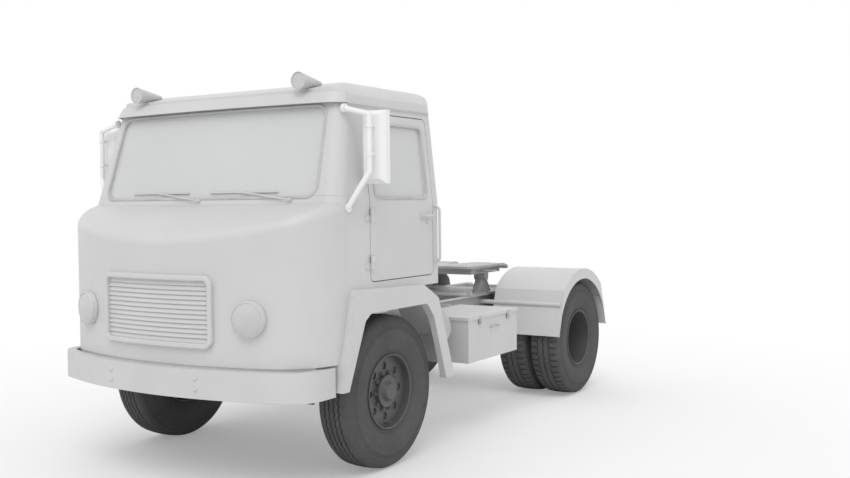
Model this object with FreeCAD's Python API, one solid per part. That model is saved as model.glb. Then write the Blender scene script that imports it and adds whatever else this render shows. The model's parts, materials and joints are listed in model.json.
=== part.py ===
import FreeCAD, Part
import functools
import math
import os

V = FreeCAD.Vector

# Overall sizes: z is 0 on the ground, y is 0 at the front axle and grows rearwards, x is 0 on the centre line
wheelbase = 3150.0
front_overhang = 1205.0
rear_overhang = 730.0
tyre_radius = 540.0
front_track_outer = 1125.0
rear_track_outer = 1211.0

# Clearances and the overrun of every cut
seat_gap = 0.3
skin_gap = 0.8
door_gap = 6.0
overrun = 20.0

# Tyres and wheels
front_tyre_width = 280.0
rear_tyre_width = 310.0
twin_gap = 26.0
bead_radius = 262.0
bead_inset = 34.0
shoulder_inset = 26.0
shoulder_drop = 24.0
tread_crown = 6.0
rim_wall = 10.0
rim_flange = 14.0
front_dish_depth = 78.0
dish_flat = 38.0
dish_reach = 62.0
disc_thickness = 14.0
hub_radius = 112.0
hub_projection = 62.0
hub_cap_radius = 72.0
hand_hole_count = 8
hand_hole_radius = 27.0
hand_hole_circle = 178.0
drum_radius = 205.0
drum_wall = 12.0
drum_length = 130.0

# Ladder frame
rail_web_x = 350.0
rail_flange = 80.0
rail_wall = 8.0
rail_top = 970.0
rail_height = 180.0
rail_front_y = -900.0
cross_depth = 60.0
cross_places = (-870.0, 1010.0, 1900.0, 2560.0, 3700.0)
mount_tower_width = 80.0
mount_tower_places = (-790.0, 500.0)
hanger_width = 76.0
hanger_length = 90.0

# Springs and front axle
spring_x = 415.0
leaf_width = 76.0
leaf_thickness = 14.0
leaf_count = 5
front_spring_half = 620.0
front_spring_rise = 95.0
rear_spring_half = 600.0
rear_spring_rise = 60.0
spring_eye_radius = 26.0
clamp_half = 75.0
beam_depth = 100.0
beam_height = 110.0
beam_drop = 45.0
beam_neck_x = 560.0
kingpin_x = 800.0
kingpin_radius = 24.0
kingpin_fit = 0.05
boss_radius = 50.0
boss_half = 66.0
pocket_depth = 22.0

# Knuckles and tie rod
fork_gap = 5.0
fork_arm = 36.0
fork_radius = 55.0
flange_plate_x = 860.0
flange_plate = 24.0
flange_plate_half_y = 75.0
spindle_radius = 42.0
spindle_fit = 0.3
steer_arm_reach = 230.0
steer_arm_width = 46.0
steer_arm_thickness = 26.0
tie_rod_radius = 17.0
tie_ball_radius = 24.0
tie_pin_radius = 10.0

# Rear axle and driveline
axle_tube_radius = 75.0
axle_tube_half = 560.0
diff_radius = 205.0
diff_half_width = 150.0
pinion_nose = 300.0
pinion_radius = 70.0
engine_half_width = 290.0
engine_front_y = -640.0
engine_rear_y = 250.0
engine_top = 1390.0
gearbox_end_y = 870.0
gearbox_radius = 165.0
gearbox_tail_radius = 95.0
crank_z = 760.0
prop_radius = 50.0
prop_yoke = 72.0
radiator_half_width = 320.0
radiator_depth = 80.0
radiator_top = 1440.0
radiator_tank = 70.0

# Side equipment
box_outer_x = 1130.0
box_width = 560.0
box_front_y = 1070.0
box_length = 855.0
box_bottom = 580.0
box_top = 945.0
box_lid = 26.0
box_lid_lip = 10.0
air_tank_radius = 145.0
air_tank_outer_x = 1052.0
air_tank_inner_x = 520.0
air_tank_y = 850.0
air_tank_z = 880.0
tank_dome = 45.0
tank_corner = 95.0
tank_strap = 45.0
tank_strap_thickness = 6.0
tank_cap_radius = 48.0
tank_cap_height = 34.0
bracket_thickness = 12.0
silencer_radius = 125.0
silencer_z = 800.0
pipe_radius = 36.0
tail_pipe_drop = 260.0
manifold_y = 60.0

# Fifth wheel: a two inch king pin, jaw bore with running clearance
coupling_y = 2760.0
coupling_top = 1250.0
coupling_half_width = 430.0
coupling_half_length = 450.0
coupling_plate = 24.0
coupling_skirt = 58.0
coupling_wall = 20.0
jaw_bore_radius = 25.8
jaw_block_radius = 115.0
throat_half = 150.0
throat_start = 62.0
throat_reach = 78.0
ramp_length = 165.0
ramp_drop = 42.0
pivot_z = 1130.0
pivot_radius = 26.0
pivot_fit = 0.05
pivot_x = 330.0
pivot_block = 70.0
base_plate = 14.0
base_front_share = 0.9

# Rear mudguards and lamps
guard_outer_x = 1240.0
guard_inner_x = 520.0
guard_radius = 668.0
guard_leg_half = 578.0
guard_leg_z = 615.0
guard_knee_half = 446.0
guard_knee_z = 1030.0
guard_sheet = 8.0
guard_valance_radius = 572.0
stay_radius = 20.0
tail_lamp_width = 250.0
tail_lamp_height = 110.0
tail_lamp_depth = 55.0
tail_lamp_x = 660.0
tail_lamp_z = 860.0
tail_lamp_corner = 18.0

# Bumper
bumper_bottom = 625.0
bumper_top = 815.0
bumper_half_width = 1150.0
bumper_bow = 3000.0
bumper_corner = 200.0
bumper_wall = 10.0
bumper_lip = 62.0
bumper_end_y = -700.0
bumper_bracket_height = 80.0

# Cab: outer form
cab_half_width = 1150.0
cab_front_y = -1150.0
cab_rear_y = 630.0
cab_bottom = 828.0
cab_sill_bottom = 1262.0
cab_bow = 2740.0
cab_corner = 400.0
cab_rear_corner = 70.0
cab_wall = 40.0
hood_front_z = 1636.0
hood_mid_y = -965.0
hood_mid_z = 1756.0
hood_rear_y = -680.0
belt_z = 1868.0
hood_round = 75.0
hood_end_y = -380.0
screen_base_y = -745.0
screen_head_y = -545.0
screen_head_z = 2530.0
screen_bow = 8900.0
screen_corner = 110.0
head_half_width = 1077.0
roof_crown_z = 2745.0
roof_crown_bow = 7400.0
roof_side_round = 190.0
roof_side_width = 1092.0
roof_side_z = 2440.0
roof_front_y = -600.0
roof_front_z = 2608.0
roof_rise_y = -200.0
roof_rise_z = 2700.0
roof_rear_round = 130.0
cowl_split_y = -575.0
rear_split = 80.0

# Cab openings
screen_bottom_z = 1915.0
screen_half_bottom = 985.0
screen_half_top = 950.0
screen_top_z = 2505.0
screen_round = 70.0
glass_thickness = 7.0
glass_inset = 12.0
rear_window_half = 420.0
rear_window_bottom = 1990.0
rear_window_top = 2390.0
rear_window_round = 60.0
door_front_y = -300.0
door_rear_y = 515.0
door_bottom = 1330.0
door_knee_z = 2050.0
door_head_front_y = -270.0
door_head_z = 2478.0
door_round = 45.0
door_frame = 78.0
door_belt_z = 1905.0
door_window_round = 40.0
hinge_out = 20.0
hinge_radius = 13.0
hinge_length = 90.0
hinge_low_z = 1420.0
hinge_high_z = 1740.0
hinge_pin_radius = 6.0
hinge_fit = 0.05
hinge_leaf = 60.0
hinge_leaf_thickness = 6.0

# Sun visor
visor_low_z = 2528.0
visor_high_z = 2606.0
visor_low_out = 52.0
visor_high_out = 26.0
visor_corner = 135.0
visor_end_y = -430.0
visor_side_out = 6.0
visor_wall = 14.0

# Wheel arches: outline of the flare in the side view
flare_out = 50.0
flare_front_leg_y = -689.0
flare_front_leg_z = 650.0
flare_front_top_y = -534.0
flare_front_top_z = 1299.0
flare_rear_top_y = 300.0
flare_rear_top_z = 1273.0
flare_rear_knee_y = 505.0
flare_rear_knee_z = 1162.0
flare_rear_leg_y = 724.0
flare_rear_leg_z = 547.0
arch_front_leg_y = -620.0
arch_front_knee_y = -430.0
arch_front_knee_z = 1088.0
arch_front_top_y = -364.0
arch_rear_top_y = 344.0
arch_top_z = 1132.0
arch_rear_knee_y = 437.0
arch_rear_knee_z = 1027.0
arch_rear_leg_y = 606.0
arch_rear_room_y = 665.0
arch_shoulder = 85.0
arch_shoulder_z = 860.0
flare_round = 40.0
flare_leg_reach = 100.0
arch_sheet = 10.0
arch_inner_x = 845.0
arch_front_room_y = -655.0

# Floor, engine tunnel, seats and dashboard
floor_top = 1205.0
floor_thickness = 22.0
tunnel_half = 400.0
tunnel_top = 1500.0
tunnel_rear_y = 330.0
tunnel_wall = 12.0
tunnel_round = 60.0
seat_x = 690.0
seat_width = 480.0
seat_front_y = -170.0
seat_depth = 500.0
seat_base_top = 1545.0
seat_base_inset = 40.0
cushion_height = 120.0
cushion_round = 40.0
back_height = 600.0
back_depth = 120.0
back_lean = 60.0
dash_front_y = -770.0
dash_rear_y = -560.0
dash_top_z = 1800.0
dash_bottom_z = 1560.0
dash_lip = 50.0
dash_round = 35.0
steer_wheel_radius = 245.0
steer_rim_radius = 14.0
steer_rim_sides = 10
steer_hub_radius = 45.0
steer_hub_height = 40.0
steer_wheel_y = -395.0
steer_wheel_z = 1800.0
steer_column_radius = 28.0
steer_foot_y = -590.0
spoke_count = 3
spoke_width = 30.0
spoke_thickness = 12.0

# Grille, lamps, horns and mirrors
grille_half_width = 489.0
grille_bottom = 958.0
grille_top = 1394.0
grille_band = 42.0
grille_chamfer = 38.0
grille_proud = 26.0
grille_sleeve = 8.0
slat_count = 12
slat_gap_share = 0.08
slat_thickness = 9.0
slat_recess = 4.0
post_count = 3
post_width = 16.0
headlamp_x = 743.0
headlamp_z = 1142.0
headlamp_radius = 120.0
headlamp_bezel = 14.0
headlamp_bezel_out = 16.0
headlamp_lens_radius = 102.0
headlamp_dome = 30.0
headlamp_bowl_radius = 92.0
headlamp_bowl_depth = 36.0
horn_x = 769.0
horn_front_y = -567.0
horn_length = 240.0
horn_z = 2682.0
horn_bell_radius = 60.0
horn_tail_radius = 16.0
horn_wall = 5.0
horn_foot_width = 30.0
horn_foot_length = 40.0
mirror_inner_x = 1160.0
mirror_outer_x = 1350.0
mirror_front_y = -420.0
mirror_depth = 75.0
mirror_low_z = 1990.0
mirror_high_z = 2470.0
mirror_bevel = 32.0
mirror_clip_shares = (0.3, 0.8)
mirror_clip_radius = 9.0
mirror_tube_radius = 18.0
mirror_tube_x = 1273.0
mirror_tube_y = -471.0
mirror_root_low_y = -548.0
mirror_root_low_z = 1835.0
mirror_root_high_y = -478.0
mirror_root_high_z = 2488.0
mirror_elbow_low_z = 2070.0
mirror_elbow_high_z = 2440.0
mirror_foot_radius = 30.0
mirror_foot_thickness = 12.0

# Smaller sizes of the running gear
wall_height_share = 0.5
leaf_step_share = 0.17
dome_share = 0.55
bracket_shares = (0.2, 0.8)
tank_cap_share = 0.25
horn_foot_shares = (0.45, 0.85)
horn_cup_share = 0.55
plate_front_share = 0.85
guard_knee_share = 0.8
engine_lift = 90.0
engine_bell_radius = 230.0
engine_foot_places = (-520.0, 120.0)
gearbox_bell_length = 180.0
tail_length = 160.0
prop_flange = 40.0
pipe_run = 120.0
pedestal_foot = 130.0
pivot_pin_out = 30.0
lug_gap = 6.0
coupling_corner = 90.0
stay_out = 45.0
stay_z = 900.0

# Places worked out from the sizes above
rear_axle_y = wheelbase
rear_end_y = wheelbase + rear_overhang
middle_y = (rear_end_y - front_overhang) / 2
rail_outer_x = rail_web_x + rail_flange
rail_bottom = rail_top - rail_height
beam_top = tyre_radius - boss_half / 2 + beam_drop / 2
front_pad_z = beam_top
rear_pad_z = tyre_radius + axle_tube_radius
front_wheel_inner = front_track_outer - front_tyre_width
floor_bottom = floor_top - floor_thickness
roof_lead_share = (roof_front_y - cab_front_y) / (roof_rise_y - roof_front_y)
roof_round_share = 1.6
rail_rear_y = rear_end_y - tail_lamp_depth - bracket_thickness - seat_gap
roof_split_z = screen_top_z
cowl_split_z = screen_bottom_z
spindle_end_x = front_track_outer - front_dish_depth
spindle_reach = rear_track_outer - rear_tyre_width + hub_projection / 2 - overrun


def box(x0, x1, y0, y1, z0, z1):
    """Box between two corners."""
    return Part.makeBox(x1 - x0, y1 - y0, z1 - z0, V(x0, y0, z0))


def rod_x(x0, x1, y, z, radius):
    return Part.makeCylinder(radius, x1 - x0, V(x0, y, z), V(1, 0, 0))


def rod_y(y0, y1, x, z, radius):
    return Part.makeCylinder(radius, y1 - y0, V(x, y0, z), V(0, 1, 0))


def rod_z(z0, z1, x, y, radius):
    return Part.makeCylinder(radius, z1 - z0, V(x, y, z0), V(0, 0, 1))


def rod_between(start, end, radius):
    run = end.sub(start)
    return Part.makeCylinder(radius, run.Length, start, run)


def mirrored(shape):
    """The same piece on the other side of the centre line."""
    return shape.mirror(V(0, 0, 0), V(1, 0, 0))


def both_sides(shape):
    return Part.makeCompound([shape, mirrored(shape)])


def fused(shapes):
    """One body from pieces that touch."""
    result = shapes[0]
    if len(shapes) > 1:
        result = result.multiFuse(list(shapes[1:]))
    return result.removeSplitter()


def corner_points(before, corner, after, radius):
    """Start, middle and end of the arc that rounds one corner."""
    to_before = before.sub(corner).normalize()
    to_after = after.sub(corner).normalize()
    half = to_before.getAngle(to_after) / 2
    reach = radius / math.tan(half)
    bisector = to_before.add(to_after).normalize()
    centre = corner.add(bisector.multiply(radius / math.sin(half)))
    start = corner.add(V(to_before).multiply(reach))
    end = corner.add(V(to_after).multiply(reach))
    inward = corner.sub(centre).normalize()
    return start, centre.add(inward.multiply(radius)), end


def rounded_wire(corners):
    """Closed wire through (point, radius) corners."""
    edges = []
    ends = []
    count = len(corners)
    for index in range(count):
        point, radius = corners[index]
        if radius > 0:
            before = corners[index - 1][0]
            after = corners[(index + 1) % count][0]
            start, middle, end = corner_points(before, point, after, radius)
            edges.append(Part.Arc(start, middle, end).toShape())
            ends.append((start, end))
        else:
            ends.append((point, point))
    for index in range(count):
        start = ends[index][1]
        end = ends[(index + 1) % count][0]
        if start.distanceToPoint(end) > seat_gap / 10:
            edges.append(Part.LineSegment(start, end).toShape())
    return Part.Wire(Part.__sortEdges__(edges))


def side_prism(points, x0, x1):
    """Side-view outline of (y, z, radius) points, drawn out from x0 to x1."""
    wire = rounded_wire([(V(x0, y, z), radius) for y, z, radius in points])
    return Part.Face(wire).extrude(V(x1 - x0, 0, 0))


def front_prism(points, y0, y1):
    """Front-view outline of (x, z, radius) points, drawn out from y0 to y1."""
    wire = rounded_wire([(V(x, y0, z), radius) for x, z, radius in points])
    return Part.Face(wire).extrude(V(0, y1 - y0, 0))


def plan_prism(points, z0, z1):
    """Plan outline of (x, y, radius) points, drawn up from z0 to z1."""
    wire = rounded_wire([(V(x, y, z0), radius) for x, y, radius in points])
    return Part.Face(wire).extrude(V(0, 0, z1 - z0))


def rectangle(half, low, high, radius):
    """Corners of an upright rectangle about the centre line."""
    return [(-half, low, radius), (half, low, radius), (half, high, radius), (-half, high, radius)]


def bowed_points(half, front, bow, corner, inset):
    """Tangent points of a bowed front and its rounded corner, with the arc's middle."""
    half = half - inset
    front = front + inset
    bow = bow - inset
    corner = max(corner - inset, seat_gap)
    bow_centre = front + bow
    run = bow - corner
    centre_x = half - corner
    centre_y = bow_centre - math.sqrt(run ** 2 - centre_x ** 2)
    touch_x = centre_x * bow / run
    touch_y = bow_centre + (centre_y - bow_centre) * bow / run
    turn = math.atan2(touch_x - centre_x, centre_y - touch_y)
    middle = (turn + math.pi / 2) / 2
    middle_x = centre_x + corner * math.sin(middle)
    middle_y = centre_y - corner * math.cos(middle)
    return half, front, (touch_x, touch_y), (middle_x, middle_y), centre_y


def bowed_wire(half, front, bow, corner, rear, rear_corner, inset, place):
    """Closed outline with a bowed front, rounded corners and a straight rear."""
    half, front, touch, middle, side = bowed_points(half, front, bow, corner, inset)
    rear = rear - inset
    back = max(rear_corner - inset, seat_gap)
    slant = back * (1 - math.sqrt(0.5))
    edges = [
        Part.Arc(place(-touch[0], touch[1]), place(0, front), place(touch[0], touch[1])),
        Part.Arc(place(touch[0], touch[1]), place(middle[0], middle[1]), place(half, side)),
        Part.LineSegment(place(half, side), place(half, rear - back)),
        Part.Arc(place(half, rear - back), place(half - slant, rear - slant), place(half - back, rear)),
        Part.LineSegment(place(half - back, rear), place(back - half, rear)),
        Part.Arc(place(back - half, rear), place(slant - half, rear - slant), place(-half, rear - back)),
        Part.LineSegment(place(-half, rear - back), place(-half, side)),
        Part.Arc(place(-half, side), place(-middle[0], middle[1]), place(-touch[0], touch[1])),
    ]
    return Part.Wire([edge.toShape() for edge in edges])


def plan_place(z):
    return lambda across, along: V(across, along, z)


def crown_place(y):
    """The bowed outline stood up: its front becomes the crown of the roof."""
    return lambda across, down: V(across, y, -down)


def cab_plan(inset, z0, z1):
    """Lower cab body in plan, as an upright prism."""
    wire = bowed_wire(cab_half_width, cab_front_y, cab_bow, cab_corner, cab_rear_y,
                      cab_rear_corner, inset, plan_place(z0))
    return Part.Face(wire).extrude(V(0, 0, z1 - z0))


def hood_front(inset):
    """Front of the lower body: an arc of hood over the upright front, behind it open."""
    front = V(0, cab_front_y, hood_front_z - inset)
    middle = V(0, hood_mid_y, hood_mid_z - inset)
    rear = V(0, hood_rear_y, belt_z - inset)
    circle = Part.Arc(front, middle, rear).toShape().Curve

    def on_arc(y):
        return V(0, y, circle.Center.z + math.sqrt(circle.Radius ** 2 - (y - circle.Center.y) ** 2))

    first = cab_front_y - overrun
    low = cab_bottom - overrun
    edges = [
        Part.LineSegment(V(0, first, low), on_arc(first)),
        Part.Arc(on_arc(first), on_arc((first + hood_end_y) / 2), on_arc(hood_end_y)),
        Part.LineSegment(on_arc(hood_end_y), V(0, hood_end_y, low)),
        Part.LineSegment(V(0, hood_end_y, low), V(0, first, low)),
    ]
    face = Part.Face(Part.Wire([edge.toShape() for edge in edges]))
    wide = cab_half_width + overrun
    face.translate(V(-wide, 0, 0))
    return face.extrude(V(2 * wide, 0, 0))


def lower_body(inset):
    """Lower cab: bowed front, rounded hood and upright sides up to the belt."""
    high = belt_z + hood_round * 4
    front = cab_plan(inset, cab_bottom - overrun, high).common(hood_front(inset))
    crease = []
    for edge in front.Edges:
        bounds = edge.BoundBox
        if bounds.ZMin > hood_front_z - inset - overrun and bounds.YMin < hood_end_y - overrun:
            crease.append(edge)
    front = front.makeFillet(hood_round - inset, crease)
    wide = cab_half_width + overrun
    low = cab_bottom - overrun
    front = front.common(box(-wide, wide, cab_front_y - overrun, hood_end_y, low, belt_z - inset))
    rear = cab_plan(inset, low, belt_z - inset)
    rear = rear.common(box(-wide, wide, hood_end_y, cab_rear_y + overrun, low, belt_z - inset))
    return front.fuse(rear)


def greenhouse(inset):
    """Upper cab, leaning in from the belt to the roof."""
    def section(z, half, front):
        return bowed_wire(half, front, screen_bow, screen_corner, cab_rear_y,
                          cab_rear_corner, inset, plan_place(z))
    grow = (roof_crown_z + overrun - belt_z) / (screen_head_z - belt_z)
    top_half = cab_half_width + (head_half_width - cab_half_width) * grow
    top_front = screen_base_y + (screen_head_y - screen_base_y) * grow
    low = hood_front_z - cab_wall * 2
    base = section(low, cab_half_width, screen_base_y)
    belt = section(belt_z, cab_half_width, screen_base_y)
    top = section(roof_crown_z + overrun, top_half, top_front)
    skirt = Part.makeLoft([base, belt], True, True)
    upper = Part.makeLoft([belt, top], True, True)
    return skirt.fuse(upper)


def roof_limit(inset):
    """Everything below the roof skin: crowned across and sloped at the front."""
    wire = bowed_wire(roof_side_width, -roof_crown_z, roof_crown_bow, roof_side_round,
                      -hood_front_z + cab_wall * 4, seat_gap, inset, crown_place(cab_front_y))
    across = Part.Face(wire).extrude(V(0, cab_rear_y - cab_front_y + overrun, 0))
    wide = cab_half_width + overrun
    low = hood_front_z - cab_wall * 4
    across = across.fuse(box(-wide, wide, cab_front_y, cab_rear_y + overrun, low, roof_side_z))
    points = [
        (cab_front_y, hood_front_z - cab_wall * 4, 0),
        (cab_front_y, roof_front_z - inset - (roof_rise_z - roof_front_z) * roof_lead_share, 0),
        (roof_rise_y, roof_rise_z - inset, (roof_rise_y - roof_front_y) * roof_round_share),
        (cab_rear_y - inset, roof_crown_z - inset, roof_rear_round - inset),
        (cab_rear_y - inset, hood_front_z - cab_wall * 4, 0),
    ]
    return across.common(side_prism(points, -wide, wide))


@functools.lru_cache(maxsize=None)
def cab_form(inset):
    """The cab as one closed form, its skin moved inwards by inset."""
    upper = greenhouse(inset).common(roof_limit(inset))
    return lower_body(inset).fuse(upper).removeSplitter()


def cab_lower_cut():
    """What is taken away below the sills and in the wheel arches."""
    wide = cab_half_width + overrun
    low = cab_bottom - 2 * overrun
    arch = side_prism(arch_room(arch_sheet, low), -wide, wide)
    rear = box(-wide, wide, arch_rear_top_y, cab_rear_y + overrun, low, cab_sill_bottom)
    middle = box(-wide, wide, cab_front_y - overrun, cab_rear_y + overrun, low, cab_bottom)
    return arch.fuse(rear).fuse(middle)


def door_outline(inset):
    """Door outline in the side view, pulled in by inset all round."""
    lean = (door_head_front_y - door_front_y) / (door_head_z - door_knee_z)
    front = door_front_y + inset
    knee = door_knee_z
    head = door_head_z - inset
    head_front = front + (head - knee) * lean
    radius = max(door_round - inset, seat_gap)
    return [
        (front, door_bottom + inset, radius),
        (front, knee, 0),
        (head_front, head, radius),
        (door_rear_y - inset, head, radius),
        (door_rear_y - inset, door_bottom + inset, radius),
    ]


def door_window(inset):
    """Window outline in the door, pulled in by inset all round."""
    lean = (door_head_front_y - door_front_y) / (door_head_z - door_knee_z)
    front = door_front_y + door_frame + inset
    head = door_head_z - door_frame - inset
    head_front = front + (head - door_knee_z) * lean
    radius = door_window_round - min(inset, glass_inset)
    return [
        (front, door_belt_z + inset, radius),
        (front, door_knee_z, 0),
        (head_front, head, radius),
        (door_rear_y - door_frame - inset, head, radius),
        (door_rear_y - door_frame - inset, door_belt_z + inset, radius),
    ]


def screen_outline(grow):
    return [
        (-screen_half_bottom - grow, screen_bottom_z - grow, screen_round),
        (screen_half_bottom + grow, screen_bottom_z - grow, screen_round),
        (screen_half_top + grow, screen_top_z + grow, screen_round),
        (-screen_half_top - grow, screen_top_z + grow, screen_round),
    ]


def cab_skin():
    """Hollow cab with its windows, doors, arches and grille opening cut."""
    skin = cab_form(0).cut(cab_form(cab_wall))
    wide = cab_half_width + overrun
    mouth = inner_mouth()
    cuts = [
        mouth,
        cab_lower_cut(),
        front_prism(screen_outline(0), cab_front_y, screen_head_y + 2 * cab_wall + hood_round),
        front_prism(rectangle(rear_window_half, rear_window_bottom, rear_window_top,
                              rear_window_round), cab_rear_y - 2 * cab_wall, cab_rear_y + overrun),
        side_prism(door_outline(0), head_half_width - 4 * cab_wall, wide),
        mirrored(side_prism(door_outline(0), head_half_width - 4 * cab_wall, wide)),
        grille_hole(),
    ]
    for side in (-1, 1):
        cuts.append(headlamp_hole(side))
    for cut in cuts:
        skin = skin.cut(cut)
    return skin


def inner_mouth():
    """Opens the hollow downwards, past the lower edge of the skin."""
    return cab_plan(cab_wall, cab_bottom - 2 * overrun, cab_sill_bottom)


def grille_hole():
    half = grille_half_width - grille_band
    return front_prism(rectangle(half, grille_bottom + grille_band, grille_top - grille_band,
                                 grille_chamfer / 2), cab_front_y - overrun, cab_front_y + 4 * cab_wall)


def front_surface_y(x):
    """Where the bowed front panel stands at x."""
    return cab_front_y + cab_bow - math.sqrt(cab_bow ** 2 - x ** 2)


def front_normal(x):
    """Outward direction of the bowed front panel at x."""
    return V(x, front_surface_y(x) - cab_front_y - cab_bow, 0).normalize()


def headlamp_hole(side):
    x = side * headlamp_x
    centre = V(x, front_surface_y(x), headlamp_z)
    inward = front_normal(x).multiply(-1)
    start = centre.sub(V(inward).multiply(2 * cab_wall))
    return Part.makeCylinder(headlamp_bowl_radius + seat_gap, 4 * cab_wall, start, inward)


def cab_regions():
    """Boxes along which the pressed panels of the cab meet."""
    wide = cab_half_width + 2 * overrun
    low = cab_bottom - 2 * overrun
    rear = cab_rear_y - rear_split
    back = cab_rear_y + overrun
    front = cab_front_y - overrun
    high = roof_crown_z + overrun
    return {
        "cab_front_panel": box(-wide, wide, front, cowl_split_y - seat_gap, low, cowl_split_z - seat_gap),
        "cab_side_left": fused([box(0, wide, cowl_split_y, rear, low, roof_split_z),
                                box(0, wide, front, cowl_split_y, cowl_split_z, roof_split_z)]),
        "cab_rear_panel": box(-wide, wide, rear + seat_gap, back, low, roof_split_z),
        "cab_roof": box(-wide, wide, front, back, roof_split_z + seat_gap, high),
    }


def cab_panels():
    skin = cab_skin()
    regions = cab_regions()
    regions["cab_side_right"] = mirrored(regions["cab_side_left"])
    panels = {name: skin.common(region) for name, region in regions.items()}
    panels["cab_side_left"] = fused([panels["cab_side_left"]] + hinge_fixed_parts())
    panels["cab_side_right"] = mirrored(panels["cab_side_left"])
    panels["cab_roof"] = fused([panels["cab_roof"], sun_visor()])
    return panels


def sun_visor():
    """Peak over the windscreen, running into the roof at both ends."""
    def section(z, out, inset):
        grow = (z - belt_z) / (screen_head_z - belt_z)
        front = screen_base_y + (screen_head_y - screen_base_y) * grow - out
        half = cab_half_width + (head_half_width - cab_half_width) * grow + visor_side_out
        return bowed_wire(half, front, screen_bow, visor_corner, cab_rear_y,
                          cab_rear_corner, inset, plan_place(z))
    outer = Part.makeLoft([section(visor_low_z, visor_low_out, 0),
                           section(visor_high_z, visor_high_out, 0)], True, True)
    inner = Part.makeLoft([section(visor_low_z, visor_low_out, visor_wall),
                           section(visor_high_z - visor_wall, visor_high_out, visor_wall)], True, True)
    wide = cab_half_width + overrun
    keep = box(-wide, wide, cab_front_y, visor_end_y, visor_low_z - overrun, visor_high_z + overrun)
    peak = outer.cut(inner).common(keep)
    return peak.cut(cab_form(0))


def pane(outline, y0, y1, keep_outer, keep_inner):
    """Pane cut from the layer between two insets of the cab form."""
    layer = cab_form(keep_outer).cut(cab_form(keep_inner))
    return layer.common(front_prism(outline, y0, y1))


def cab_glass():
    """Windscreen and rear window, each a thin pane in its opening."""
    middle = cab_wall / 2
    screen = pane(screen_outline(-seat_gap), cab_front_y, screen_head_y + 2 * cab_wall + hood_round,
                  middle - glass_thickness / 2, middle + glass_thickness / 2)
    rear_y = cab_rear_y - middle
    rear = front_prism(rectangle(rear_window_half - seat_gap, rear_window_bottom + seat_gap,
                                 rear_window_top - seat_gap, rear_window_round),
                       rear_y - glass_thickness / 2, rear_y + glass_thickness / 2)
    return Part.makeCompound([screen, rear])


def hinge_axis():
    """Upright hinge line, just outside the skin at the front of the door."""
    return cab_half_width + hinge_out, door_front_y + door_gap / 2


def hinge_knuckle(z0, z1, leaf_y0, leaf_y1, bore):
    """Part of a hinge: a barrel with a leaf that lies on the skin."""
    x, y = hinge_axis()
    barrel = rod_z(z0, z1, x, y, hinge_radius)
    leaf = box(cab_half_width, cab_half_width + hinge_leaf_thickness, leaf_y0, leaf_y1, z0, z1)
    web_y0 = max(leaf_y0, y - hinge_radius / 2)
    web_y1 = min(leaf_y1, y + hinge_radius / 2)
    web = box(cab_half_width, x, web_y0, web_y1, z0, z1)
    solid = fused([barrel, leaf, web])
    if bore > 0:
        solid = solid.cut(rod_z(z0 - overrun, z1 + overrun, x, y, bore))
    return solid


def hinge_fixed_parts():
    """Hinge leaves on the pillar, each with the pin that carries the door."""
    x, y = hinge_axis()
    parts = []
    for z in (hinge_low_z, hinge_high_z):
        split = z + hinge_length / 2
        parts.append(hinge_knuckle(z, split, y - hinge_leaf, door_front_y, 0))
        parts.append(rod_z(split, z + hinge_length, x, y, hinge_pin_radius))
    return parts


def door_left():
    """Whole door: skin, frame and inner panel in one thickness, window cut."""
    skin = cab_form(0).cut(cab_form(cab_wall))
    wide = cab_half_width + overrun
    inner_x = head_half_width - 4 * cab_wall
    leaf = skin.common(side_prism(door_outline(door_gap), inner_x, wide))
    leaf = leaf.cut(side_prism(door_window(0), inner_x - overrun, wide + overrun))
    x, y = hinge_axis()
    parts = [leaf]
    for z in (hinge_low_z, hinge_high_z):
        split = z + hinge_length / 2 + seat_gap
        parts.append(hinge_knuckle(split, z + hinge_length, door_front_y + door_gap, y + hinge_leaf,
                                   hinge_pin_radius + hinge_fit))
    return fused(parts)


def door_glass_left():
    """Side window pane, in the middle of the door's thickness."""
    layer = cab_form((cab_wall - glass_thickness) / 2).cut(cab_form((cab_wall + glass_thickness) / 2))
    wide = cab_half_width + overrun
    return layer.common(side_prism(door_window(seat_gap), head_half_width - 4 * cab_wall, wide))


def wheel_arch_left():
    """Wheelhouse sheet with the wide pressed flare round its outer edge, closed in front of the tyre."""
    low = flare_front_leg_z
    outer = [
        (flare_front_leg_y, low, 0),
        (flare_front_top_y, flare_front_top_z, flare_round),
        (flare_rear_top_y, flare_rear_top_z, flare_round),
        (flare_rear_knee_y, flare_rear_knee_z, flare_round),
        (flare_rear_leg_y, flare_rear_leg_z, 0),
        (arch_rear_leg_y, flare_rear_leg_z, 0),
        (arch_rear_knee_y, arch_rear_knee_z, flare_round),
        (arch_rear_top_y, arch_top_z, flare_round),
        (arch_front_top_y, arch_top_z, flare_round),
        (arch_front_knee_y, arch_front_knee_z, flare_round),
        (arch_front_leg_y, low, 0),
    ]
    flare = side_prism(outer, cab_half_width, cab_half_width + flare_out)
    inner_x = cab_half_width - flare_leg_reach
    leg = side_prism(outer, inner_x, cab_half_width)
    leg = leg.common(box(inner_x, cab_half_width, flare_front_leg_y, arch_front_knee_y,
                         low, flare_front_top_z))
    leg = leg.cut(side_prism(arch_room(0, low - overrun), inner_x - overrun, cab_half_width + overrun))
    leg = leg.cut(cab_plan(-seat_gap, cab_bottom - seat_gap, flare_front_top_z + overrun))
    roomy = side_prism(arch_room(0, low), arch_inner_x, cab_half_width)
    thick = side_prism(arch_room(arch_sheet, low), arch_inner_x, cab_half_width)
    sheet = thick.cut(roomy)
    rim = side_prism(arch_room(arch_sheet, low), cab_half_width - arch_sheet, cab_half_width)
    rim = rim.cut(side_prism(arch_lip(low), cab_half_width - overrun, cab_half_width + overrun))
    rear = side_prism(rear_leg_points(), cab_half_width - arch_sheet, cab_half_width)
    return fused([flare, leg, sheet, rim, rear])


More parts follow.
